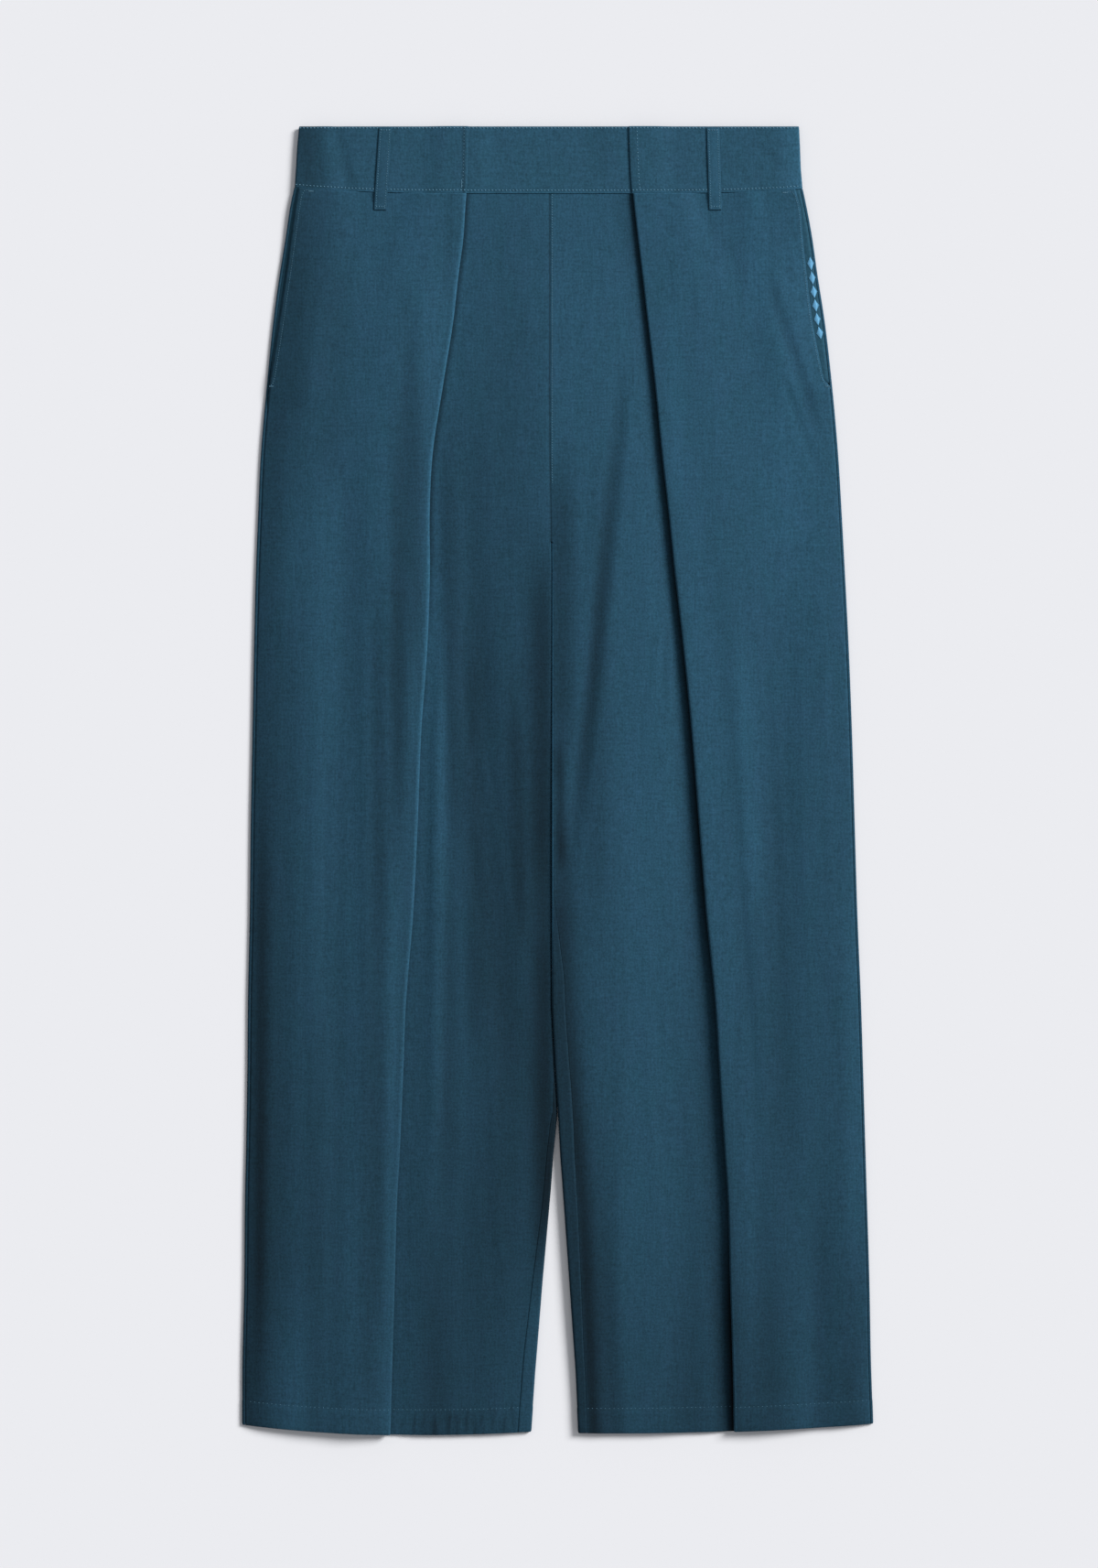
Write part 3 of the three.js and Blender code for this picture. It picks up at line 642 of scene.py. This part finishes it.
def signed_volume(points, quads):
    a, b, c, d = (points[quads[:, i]] for i in range(4))
    return float(sum(np.einsum("ij,ij->i", a, np.cross(*pair)) for pair in ((b, c), (c, d))).sum())


# Shader expressions
class Term:
    """A shader socket that takes part in Python expressions."""

    def __init__(self, paint, socket):
        self.paint = paint
        self.socket = socket

    def join(self, operation, other):
        return self.paint.node("ShaderNodeMath", {0: self, 1: other}, operation=operation)

    def __add__(self, other):
        return self.join("ADD", other)

    def __sub__(self, other):
        return self.join("SUBTRACT", other)

    def __mul__(self, other):
        return self.join("MULTIPLY", other)

    __radd__ = __add__
    __rmul__ = __mul__


class Paint:
    """The node tree of a material, the world or a modifier, whose nodes are made by one method."""

    def __init__(self, tree):
        self.tree = tree
        tree.nodes.clear()

    def among(self, low, high, share):
        """A colour between two others."""
        colours = {"Factor": share, 6: (*low, 1), 7: (*high, 1)}
        return self.node("ShaderNodeMix", colours, 2, data_type="RGBA")

    def node(self, kind, inputs=None, output=0, **settings):
        made = self.tree.nodes.new(kind)
        for name, value in settings.items():
            setattr(made, name, value)
        for key, value in (inputs or {}).items():
            if isinstance(value, Term):
                self.tree.links.new(value.socket, made.inputs[key])
            else:
                made.inputs[key].default_value = value
        return Term(self, made.outputs[output]) if made.outputs else None

    def surface(self, inputs):
        """Ends a material's tree with one principled shader."""
        shader = self.node("ShaderNodeBsdfPrincipled", inputs)
        self.node("ShaderNodeOutputMaterial", {"Surface": shader})

    def noise(self, stretch, detail=2, roughness=0.5):
        """Noise on the piece's own coordinates, with grains as long as 1/stretch metres along each axis."""
        place = self.node("ShaderNodeTexCoord", output="Object")
        scaled = self.node("ShaderNodeVectorMath", {0: place, 1: stretch}, operation="MULTIPLY")
        grains = {"Vector": scaled, "Scale": 1, "Detail": detail, "Roughness": roughness}
        return self.node("ShaderNodeTexNoise", grains)


CLOTH_RELIEF = 0.00022
THREAD_RELIEF = 0.0001


def new_material(name, colour):
    material = bpy.data.materials.new(name)
    material.use_nodes = True
    material.diffuse_color = (*colour, 1)
    return material, Paint(material.node_tree)


def cloth_material(name, colour, slub=0.34, lengthwise=True):
    """Matt woven cloth with long slubs, a soft crinkle, and the painted shade and highlights of its tone
    attribute, which follow the folds.
    """
    material, paint = new_material(name, colour)
    along, across = (1, 1) if lengthwise else (1.4, 0.7)
    slubs = paint.noise((640, 62 * along, 300), 3, 0.62)
    cross = paint.noise((80, 560, 300), 2, 0.6)
    grain = paint.noise((640, 520, 500), 2, 0.6)
    weave = paint.noise((2600, 1700, 1500), 1, 0.5)
    crinkle = paint.noise((160 * across, 30 * along, 120), 2, 0.55)
    patch = paint.noise((52, 30, 60), 2, 0.6)
    mottle = paint.noise((14, 6, 10), 3, 0.55)
    tone = 1 + (slubs - 0.5) * (1.5 * slub) + (cross - 0.5) * (1.2 * slub) + (grain - 0.5) * (2.8 * slub)
    tone = tone + (weave - 0.5) * 0.24 + (crinkle - 0.5) * 0.1 + (patch - 0.5) * 0.07 + (mottle - 0.5) * 0.06
    # The tone attribute brings in painted shade and painted highlights
    tone = tone * (1 + paint.node("ShaderNodeAttribute", output="Fac", attribute_name="tone"))
    greener = (colour[0] * 0.86, colour[1] * 1.05, colour[2] * 0.96)
    bluer = (colour[0] * 1.14, colour[1] * 0.95, colour[2] * 1.04)
    mixed = paint.among(greener, bluer, patch * 0.5 + grain * 0.5 + crinkle * 0.3 - 0.15)
    shaded = paint.node("ShaderNodeVectorMath", {0: mixed, "Scale": tone}, operation="SCALE")
    height = slubs * 0.5 + crinkle * 0.7 + grain * 0.4 + cross * 0.3 + patch * 0.5 + weave * 0.08
    bump = paint.node("ShaderNodeBump", {"Strength": 1, "Distance": CLOTH_RELIEF, "Height": height})
    paint.surface({
        "Base Color": shaded, "Roughness": 0.84 + slubs * 0.12, "Normal": bump, "Specular IOR Level": 0.14,
        "Sheen Weight": 0.03, "Sheen Roughness": 0.5, "Sheen Tint": (0.35, 0.7, 1, 1),
    })
    return material


def thread_material(name, colour, roughness=0.6):
    material, paint = new_material(name, colour)
    strands = paint.noise((2500, 2500, 2500), 2)
    lengths = paint.noise((70, 70, 70), 2)
    tone = 0.55 + strands * 0.3 + lengths * 0.6
    shaded = paint.node("ShaderNodeVectorMath", {0: colour, "Scale": tone}, operation="SCALE")
    bump = paint.node("ShaderNodeBump", {"Strength": 0.6, "Distance": THREAD_RELIEF, "Height": strands})
    paint.surface({"Base Color": shaded, "Roughness": roughness, "Normal": bump, "Specular IOR Level": 0.4})
    return material


# Stitches
STITCH_SEED = 3
TREE_INPUTS = {
    "Line": "NodeSocketGeometry", "Pitch": "NodeSocketFloat", "Thread width": "NodeSocketFloat",
    "Shortest": "NodeSocketFloat", "Seed": "NodeSocketInt", "Thread": "NodeSocketMaterial",
}


def stitch_tree():
    """Lays a strand of thread at every pitch of a line, as long and as turned as the line says."""
    tree = bpy.data.node_groups.new("stitches", "GeometryNodeTree")
    paint = Paint(tree)
    for name, kind in TREE_INPUTS.items():
        tree.interface.new_socket(name, in_out="INPUT", socket_type=kind)
    tree.interface.new_socket("Stitches", in_out="OUTPUT", socket_type="NodeSocketGeometry")
    given = tree.nodes.new("NodeGroupInput")
    value = {name: Term(paint, given.outputs[name]) for name in TREE_INPUTS}
    curve = paint.node("GeometryNodeMeshToCurve", {"Mesh": value["Line"]})
    spaced = {"Curve": curve, "Length": value["Pitch"]}
    places = paint.node("GeometryNodeResampleCurve", spaced, mode="LENGTH")
    reach = paint.node("GeometryNodeInputNamedAttribute", {"Name": "reach"}, data_type="FLOAT")
    turn = paint.node("GeometryNodeInputNamedAttribute", {"Name": "turn"}, data_type="FLOAT")
    lengths = {2: value["Shortest"], 3: 1, "Seed": value["Seed"]}
    uneven = paint.node("FunctionNodeRandomValue", lengths, 1, data_type="FLOAT")
    tangent = paint.node("GeometryNodeInputTangent")
    turned = paint.node("ShaderNodeVectorRotate", {"Vector": tangent, "Axis": (0, 0, 1), "Angle": turn})
    rotation = paint.node("FunctionNodeAlignRotationToVector", {"Vector": turned}, axis="X")
    half = value["Thread width"] * 0.5
    size = paint.node("ShaderNodeCombineXYZ", {0: reach * uneven * 0.5, 1: half, 2: half})
    strand = paint.node("GeometryNodeMeshIcoSphere", {"Radius": 1, "Subdivisions": 1})
    strands = {"Points": places, "Instance": strand, "Rotation": rotation, "Scale": size}
    laid = paint.node("GeometryNodeInstanceOnPoints", strands)
    real = paint.node("GeometryNodeRealizeInstances", {"Geometry": laid})
    smooth = paint.node("GeometryNodeSetShadeSmooth", {0: real})
    threaded = paint.node("GeometryNodeSetMaterial", {"Geometry": smooth, "Material": value["Thread"]})
    out = tree.nodes.new("NodeGroupOutput")
    tree.links.new(threaded.socket, out.inputs["Stitches"])
    return tree


def surface_of(names):
    """A finder of the highest surface of some pieces of cloth, in metres."""
    vertices, faces = [], []
    for name in names:
        mesh = CLOTHS[name]["piece"].data
        first = len(vertices)
        vertices += [v.co.copy() for v in mesh.vertices]
        faces += [[first + i for i in face.vertices] for face in mesh.polygons]
    return BVHTree.FromPolygons(vertices, faces)


def row_of(points, reach=1.7, turn=0, lift=0.1):
    """A line of thread through places on the garment; the reach may change along it."""
    points = np.asarray(points, float)
    return {"points": points, "reach": np.broadcast_to(reach, len(points)), "turn": turn, "lift": lift}


def smooth_line(points, step=2):
    """A line through a few places, with a point every step."""
    points = np.asarray(points, float)
    lengths = np.concatenate([[0], np.cumsum(np.linalg.norm(np.diff(points, axis=0), axis=1))])
    at = np.linspace(0, lengths[-1], max(2, int(lengths[-1] / step) + 1))
    return np.stack([np.interp(at, lengths, points[:, axis]) for axis in range(2)], 1)


def sew(name, lines, pitch, width, below=None, slot="thread", shortest=0.8):
    """Stitches along lines that lie on the surface of some pieces of cloth, or of all."""
    surface = surface_of(below or CLOTHS)
    points, edges, reach, turn = [], [], [], []
    for line in lines:
        for place, (x, y) in enumerate(line["points"]):
            hit = surface.ray_cast(Vector((x * MM, y * MM, 0.05)), Vector((0, 0, -1)))[0]
            if place:
                edges.append((len(points) - 1, len(points)))
            points.append((x, y, hit.z / MM + line["lift"]))
            reach.append(line["reach"][place] * MM)
            turn.append(radians(line["turn"]))
    mesh = bpy.data.meshes.new(f"{name}_lines")
    mesh.from_pydata((np.array(points) * MM).tolist(), edges, [])
    for label, values in (("reach", reach), ("turn", turn)):
        mesh.attributes.new(label, "FLOAT", "POINT").data.foreach_set("value", values)
    piece = add_object(name, mesh)
    modifier = piece.modifiers.new("stitches", "NODES")
    modifier.node_group = STITCH_TREE
    sizes = {
        "Pitch": pitch * MM, "Thread width": width * MM, "Shortest": shortest, "Seed": STITCH_SEED,
        "Thread": MATERIALS[slot],
    }
    for socket in STITCH_TREE.interface.items_tree:
        if socket.name in sizes:
            modifier[socket.identifier] = sizes[socket.name]
    graph = bpy.context.evaluated_depsgraph_get()
    finished = bpy.data.meshes.new_from_object(piece.evaluated_get(graph), depsgraph=graph)
    piece.modifiers.clear()
    piece.data = finished
    finished.name = name
    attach(piece, "root")
    return piece


# Camera, light and floor
def make_camera():
    """Straight above, with a long lens, framed as in the photograph."""
    scale = OUTSEAM / 1428  # the outseam covers 1428 of the frame's 1713 rows
    frame_height = 1713 * scale * MM
    lens, sensor = 100, 36
    camera = add_object("camera", bpy.data.cameras.new("camera"))
    camera.data.lens = lens
    camera.data.sensor_width = sensor
    camera.data.clip_end = 50
    camera.location = (-9.5 * scale * MM, -3.5 * scale * MM, frame_height * lens / sensor)
    bpy.context.scene.camera = camera


def make_light():
    """A wide key light from the upper right and an even pale room."""
    key = add_object("key_light", bpy.data.lights.new("key_light", "SUN"))
    key.data.energy = 4
    key.data.angle = radians(24)
    key.data.color = (1, 0.99, 0.975)
    elevation, turn = radians(32), radians(-58)
    key.rotation_euler = Euler((0, pi / 2 - elevation, pi / 2 + turn), "XYZ")
    world = bpy.data.worlds.new("studio")
    bpy.context.scene.world = world
    world.use_nodes = True
    paint = Paint(world.node_tree)
    room = paint.node("ShaderNodeBackground", {"Color": (0.96, 0.98, 1, 1), "Strength": 0.36})
    seen = paint.node("ShaderNodeBackground", {"Color": (0.83, 0.84, 0.87, 1), "Strength": 1})
    camera_ray = paint.node("ShaderNodeLightPath", output="Is Camera Ray")
    mixed = paint.node("ShaderNodeMixShader", {0: camera_ray, 1: room, 2: seen})
    paint.node("ShaderNodeOutputWorld", {"Surface": mixed})
    view = bpy.context.scene.view_settings
    view.view_transform = "Standard"
    view.look = "None"


def make_floor():
    material, paint = new_material("floor_paint", (0.82, 0.83, 0.86))
    paint.surface({"Base Color": (0.8145, 0.8205, 0.857, 1), "Roughness": 0.95, "Specular IOR Level": 0.1})
    half = 6000
    corners = [(-half, -half, 0), (half, -half, 0), (half, half, 0), (-half, half, 0)]
    make_mesh("floor", corners, [(0, 1, 2, 3)], material)


# Pieces of cloth, each kept with its solid's node, a slot name, its middle surface and what it rests on
CLOTHS = {}


def add_cloth(name, node, slot, middle, thickness, shade, rests_on):
    piece = cloth_shell(name, middle, thickness, MATERIALS[slot], painted_falloff_shade(middle) + shade)
    CLOTHS[name] = {"piece": piece, "node": node, "slot": slot, "middle": middle, "rests_on": rests_on}


def declare(entry):
    """The piece stands for its solid, which is hidden, and moves with the garment."""
    piece = entry["piece"]
    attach(piece, "root")
    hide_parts(entry["node"])


def place_grid(side, u, z, drop):
    x = side * u
    return np.stack([x, leg_y(side, x, drop), z], -1)


def painted_falloff_shade(points):
    """Painted shade: the cloth is painted a little darker towards the lower left, as the light falls off away
    from the upper right.
    """
    x, y = points[..., 0], points[..., 1]
    return -0.32 * ease(420, -480, y) - 0.08 * ease(60, -240, x)


def leg_panel(side, part, section, row_step, seam_columns, rests_on):
    """The front or the back of one leg."""
    drops = leg_drops(row_step)
    u, z, shade = section(side, drops)
    middle = place_grid(side, u, z, drops[:, None])
    name = NAMES[side]
    thick = leg_thickness(drops, u.shape[1], seam_columns)
    add_cloth(f"{name}_leg_{part}_cloth", f"leg_{name}_{part}", "cloth", middle, thick, shade, [rests_on])


def pocket_facing(side):
    drop = np.linspace(PANEL_TOP, POCKET_DROP + 2.5, 40)[:, None]
    edges = leg_edges(side, drop)
    u = between(edges["pocket"] - FACING_WIDTH, edges["outer"] - OUTSEAM_WRAP - SEAM_GAP, 14)
    z = (waist_lift(drop) + LOW_LAYER + LAYER_STEP) * np.ones_like(u)
    middle = place_grid(side, u, z, drop)
    name = NAMES[side]
    pieces = f"{name}_pocket_facing_cloth", f"pocket_facing_{name}"
    add_cloth(*pieces, "facing_cloth", middle, CLOTH, 0, [f"{name}_leg_back_cloth"])


# Waistband
BAND_ROWS = (1.4, 51.3)  # the two rows of stitches, below the top edge and above the seam
BAND_LOW = WAIST_LIFT + 0.8
BAND_HIGH = BAND_LOW + BAND_STEP
BAND_DROPS = np.array([0, 0.4, 0.9, 1.4, 2.4, *np.linspace(4, 49.4, 22), 50.5, 51.3, 52.1, 52.9, 53.4, 53.8])
LAP_COLUMNS = np.array([0, 0.35, 1, 2, 3.2, 4.6, 6.2])  # close together at the end of each lap
LAP_EDGE = (0.6, 0.9)  # how thin the first of them are


def band_y(x, drop):
    return OUTSEAM / 2 - drop - waist_curve(x) * drop / BAND_DEPTH


def band_edges(drop):
    return {name: line_through(BAND, name, drop) for name in BAND}


def band_side_height(away):
    """The band steps down beyond the centre piece's end, and is pressed down at its own."""
    over = BAND_STEP * fade(LAP_WIDTH + 2, LAP_WIDTH + 24, away)
    return BAND_HIGH + over - 0.4 * fade(0, 5, away)


def band_thickness(columns, ends=()):
    """The waistband's edges are rounded, and its two rows of stitches sink in a little."""
    thick = BAND_CLOTH * (0.6 + 0.4 * ease(0, 0.9, np.minimum(BAND_DROPS, BAND_DROPS[-1] - BAND_DROPS)))
    thick = thick - sum(dent(BAND_DROPS - row, *ROW_DENT) for row in BAND_ROWS)
    thick = np.repeat(thick[:, None], columns, 1)
    for place, share in enumerate(ends):
        thick[:, [place, -1 - place]] *= share
    return thick


def band_piece(name, x, z, shown, rests_on, ends=()):
    """A piece of the waistband, creased where it shows, with painted light and shade in its creases and
    painted light along its lower edge.
    """
    drop = BAND_DROPS[:, None]
    z = z + shown * crease_sum([BAND_FRONT], x, drop, "rise")
    middle = np.stack([x, band_y(x, drop), z], -1)
    front = z > BAND_LOW + BAND_STEP / 2
    shade = LOWER_EDGE_LIGHT * ease(52.4, 53.4, drop) + front * crease_sum([BAND_FRONT], x, drop, "shade")
    thick = band_thickness(x.shape[1], ends)
    add_cloth(f"{name}_cloth", name, "waistband_cloth", middle, thick, shade, rests_on)


def waistband_round():
    """From one lap round the back to the other."""
    edges = band_edges(BAND_DROPS[:, None])
    turn = BAND_STEP / 2
    reach = turn + BAND_CLOTH / 2
    right_end, left_end = edges["right_outer"] + reach, edges["left_outer"] - reach
    right_far = between(edges["right_lap"] - 8, right_end, 44)[:, :-1]
    right_x = side_by_side(edges["right_lap"] - LAP_COLUMNS, right_far)
    left_far = between(left_end, edges["left_lap"] + 8, 44)[:, 1:]
    left_x = side_by_side(left_far, edges["left_lap"] + LAP_COLUMNS[::-1])
    middle_z = np.full_like(right_end, BAND_LOW + turn)
    right_turn = half_turn(right_end, middle_z, turn, turn, pi / 2, 1.5 * pi, 9)
    left_turn = half_turn(left_end, middle_z, turn, turn, -pi / 2, pi / 2, 9)
    back_x = between(right_end, left_end, 80)[:, 1:-1]
    x = side_by_side(right_x, right_turn[0], back_x, left_turn[0], left_x)
    right_z = band_side_height(edges["right_lap"] - right_x)
    left_z = band_side_height(left_x - edges["left_lap"])
    z = side_by_side(right_z, right_turn[1], np.full_like(back_x, BAND_LOW), left_turn[1], left_z)
    rests_on = ["back_loop_centre_cloth", "waistband_centre_cloth"]
    band_piece("waistband_round", x, z, z > BAND_LOW + BAND_STEP / 2, rests_on, LAP_EDGE)


def waistband_centre():
    edges = band_edges(BAND_DROPS[:, None])
    x = between(edges["right_lap"] - LAP_WIDTH, edges["left_lap"] + LAP_WIDTH, 70)
    shown = ease(2, 8, x - edges["right_lap"]) * ease(2, 8, edges["left_lap"] - x)
    band_piece("waistband_centre", x, np.full_like(x, BAND_HIGH), shown, ["waistband_round_cloth"])


# Belt loops: where each lies on the waistband, its middle at both ends, and its tone
LOOPS = rows_of(
    "place side top_x bottom_x shade",
    ("front", "right", -138.2, -142.5, -0.04),
    ("front", "left", 124.6, 126.6, 0.12),
    ("back", "right", -112, -113, 0),
    ("back", "centre", -6.2, -6.2, 0),
    ("back", "left", 99, 100, 0),
)
LOOP_TOP = OUTSEAM / 2 - 1
LOOP_ROW = 3.6  # from a loop's middle to its rows of stitches
LOOP_COLUMNS = LOOP_WIDTH / 2 * np.array([-1, -0.94, -0.82, -0.7, -0.5, -0.2, 0, 0.2, 0.5, 0.7, 0.82, 0.94, 1])


def loop_x(loop, along):
    return loop["top_x"] + (loop["bottom_x"] - loop["top_x"]) * along / LOOP_LENGTH


def belt_loop(loop):
    """A folded strip, sewn at the top edge and just below the waist seam."""
    even = np.linspace(1.4, LOOP_LENGTH - 1.4, 40)
    along = np.concatenate([[0, 0.5], even, [LOOP_LENGTH - 0.5, LOOP_LENGTH]])[:, None]
    from_middle = np.abs(LOOP_COLUMNS)
    if loop["place"] == "front":
        on_band = BAND_HIGH + BAND_CLOTH / 2 + 0.6
        on_panel = WAIST_LIFT + LOW_LAYER + LAYER_STEP + CLOTH / 2 + 0.7
        bow = 0.25 * np.sin(np.pi * np.clip(along / 55, 0, 1)) ** 0.8
        z = on_band + bow + (on_panel - on_band) * ease(55, LOOP_LENGTH - 4, along)
        sunk = 0.12 * (from_middle / (LOOP_WIDTH / 2)) ** 4 + dent(from_middle - LOOP_ROW, *LOOP_DENT)
        z, thickness, rests_on = z - sunk, 1, "waistband_round_cloth"
    else:
        z, thickness, rests_on = 0.5, 0.9, "floor"
    middle = np.stack(np.broadcast_arrays(loop_x(loop, along) + LOOP_COLUMNS, LOOP_TOP - along, z), -1)
    rounded_side = 0.7 + 0.3 * ease(1, 0.88, from_middle / (LOOP_WIDTH / 2))
    rounded_end = 0.5 + 0.5 * ease(0, 1.2, np.minimum(along, LOOP_LENGTH - along))
    thick = thickness * rounded_end * rounded_side
    pieces = f"{loop['place']}_loop_{loop['side']}_cloth", f"belt_loop_{loop['place']}_{loop['side']}"
    add_cloth(*pieces, "loop_cloth", middle, thick, loop["shade"], [rests_on])


# Lines of stitches, in places on the garment
def on_band(x, drop, **settings):
    return row_of(np.stack([x, band_y(x, drop)], 1), **settings)


def on_leg(side, x, drop, **settings):
    return row_of(np.stack([x, leg_y(side, x, drop)], 1), **settings)


def band_rows():
    """Two rows all along the waistband, broken at the laps."""
    rows = []
    for drop in BAND_ROWS:
        at = band_edges(drop)
        for start, end in (
            (at["right_outer"] + 1.2, at["right_lap"] - 1),
            (at["right_lap"] + 0.8, at["left_lap"] - 0.8),
            (at["left_lap"] + 1, at["left_outer"] - 1.2),
        ):
            rows.append(on_band(np.arange(start, end, 3), drop))
    return rows


def lap_rows():
    """A row beside each lap: sunk in and dark beside the right one."""
    rows = []
    for lap, inset, top, low, lift in (
        ("right_lap", -3.4, 3, 50.4, -0.28),
        ("left_lap", 6.4, 1.6, 52, 0),
    ):
        drop = np.arange(top, low, 3)
        rows.append(on_band(band_edges(drop)[lap] + inset, drop, reach=1.2, lift=lift))
    return rows


def seam_row():
    drop = np.arange(PANEL_TOP + 1, CROTCH_DROP - 46, 3)
    return on_leg(LEFT, np.full_like(drop, CENTRE_SEAM + 1.8), drop, reach=1.1)


def pocket_row(side):
    """Beside the opening's edge, hooked at the top and turned out along the bottom corner."""
    drop = np.concatenate([[PANEL_TOP + 2.6], np.arange(60, POCKET_DROP, 4)])
    u = side * curve_through(POCKETS, NAMES[side], drop) - POCKET_ROW[side]
    u[0] -= 1
    hook = [(u[0] - 6, PANEL_TOP + 2), (u[0] - 2.5, PANEL_TOP + 1.4)]
    edge = leg_edges(side, POCKET_DROP)["outer"] - 1
    out = [(u[-1] + 0.3 * (edge - u[-1]), POCKET_DROP + 3), (edge, POCKET_DROP + POCKET_CORNER + 1.8)]
    path = smooth_line(hook + list(zip(u, drop)) + out)
    return on_leg(side, side * path[:, 0], path[:, 1], reach=1.1)


def hem_rows(side):
    """Along the upper edge of the turned-up hem, on both sides of the pleat's fold."""
    at = leg_edges(side, HEM_ROW)
    ends = (at["inner"] + at["wrap"] + 1.5, at["fold"] - 1.2), (at["fold"] + 2, at["outer"] - 4.5)
    return [on_leg(side, side * np.arange(*pair, 3), HEM_ROW, reach=1.3, lift=0.06) for pair in ends]


def loop_rows(loop):
    """Down both sides of a belt loop, and a bar at each end."""
    rows = []
    along = np.arange(2, LOOP_LENGTH - 1.2, 2.5)
    for inset in (-LOOP_ROW, LOOP_ROW):
        rows.append(row_of(np.stack([loop_x(loop, along) + inset, LOOP_TOP - along], 1), reach=1.1))
    for end in (2.2, LOOP_LENGTH - 2.6):
        x = np.linspace(-LOOP_ROW + 0.6, LOOP_ROW - 0.6, 4) + loop_x(loop, end)
        rows.append(row_of(np.stack([x, np.full_like(x, LOOP_TOP - end)], 1), reach=1.6, turn=80))
    return rows


def bartack(x, y, length, turn, reach):
    """A short bar of close strands laid across its line."""
    step = np.array([cos(radians(turn)), sin(radians(turn))]) * length / 2
    return row_of(np.array([x, y]) + np.array([-step, step]), reach=reach, turn=82, lift=0.14)


def bartacks():
    """One at the foot of the right lap and one at each end of both pocket openings."""
    lap_x = band_edges(46)["right_lap"] - 4.4
    bars = [bartack(lap_x, band_y(lap_x, 46.5), 6, 90, 0.8)]
    for side in (RIGHT, LEFT):
        top_u = side * POCKETS[NAMES[side]][0] - POCKET_ROW[side] - 6.5
        low_u = leg_edges(side, POCKET_DROP)["outer"] - 3.4
        for u, drop, length in ((top_u, PANEL_TOP + 2.2, 3.4), (low_u, POCKET_DROP + 5.6, 3.2)):
            bars.append(bartack(side * u, leg_y(side, side * u, drop), length, 0, 1))
    return bars


def lozenge_rows():
    """Six plain lozenges in satin stitch, one below another on the facing that shows in the pocket."""
    rows = []
    for drop in np.linspace(110.5, 165.5, 6):
        down = drop + np.array([-LOZENGE_HALF, 0, LOZENGE_HALF])
        x = line_through(POCKETS, "left", down) + LOZENGE_INSET
        rows.append(on_leg(LEFT, x, down, reach=np.array([0.5, LOZENGE_WIDTH, 0.5]), turn=90, lift=0.16))
    return rows


make_camera()
make_light()
make_floor()

MATERIALS = {
    "cloth": cloth_material("teal_cloth", (0.0198, 0.0745, 0.124)),
    "waistband_cloth": cloth_material("teal_band_cloth", (0.0203, 0.075, 0.123), lengthwise=False),
    "loop_cloth": cloth_material("teal_loop_cloth", (0.02, 0.074, 0.122), slub=0.26),
    "facing_cloth": cloth_material("teal_facing_cloth", (0.0196, 0.0735, 0.116), slub=0.26),
    "thread": thread_material("teal_thread", (0.1, 0.24, 0.345)),
    "embroidery_thread": thread_material("light_blue_thread", (0.147, 0.423, 0.672), 0.45),
}
for side in (RIGHT, LEFT):
    leg_panel(side, "back", back_section, 8, 0, "floor")
    leg_panel(side, "front", front_section, 4.8, 3, f"{NAMES[side]}_leg_back_cloth")
    pocket_facing(side)
waistband_round()
waistband_centre()
for loop in LOOPS:
    belt_loop(loop)

STITCH_TREE = stitch_tree()
BAND_CLOTHS = ("waistband_round_cloth", "waistband_centre_cloth")
loop_lines = [row for loop in LOOPS if loop["place"] == "front" for row in loop_rows(loop)]
SEWN = {
    "waistband_round_cloth": [sew("waistband_stitches", band_rows() + lap_rows(), 2.8, 0.86, BAND_CLOTHS)],
    "front_loop_right_cloth": [sew("belt_loop_stitches", loop_lines, 1.9, 0.52)],
    "left_leg_front_cloth": [
        sew("centre_seam_stitches", [seam_row()], 2, 0.6),
        sew("left_pocket_stitches", [pocket_row(LEFT)], 1.9, 0.52),
        sew("left_hem_stitches", hem_rows(LEFT), 3.4, 0.3),
    ],
    "right_leg_front_cloth": [
        sew("right_pocket_stitches", [pocket_row(RIGHT)], 1.9, 0.42),
        sew("right_hem_stitches", hem_rows(RIGHT), 3.4, 0.3),
        sew("bartacks", bartacks(), 0.42, 0.42),
    ],
    "left_pocket_facing_cloth": [
        sew("pocket_lozenges", lozenge_rows(), 0.4, 0.55, slot="embroidery_thread", shortest=0.93),
    ],
}
for name, entry in CLOTHS.items():
    declare(entry)
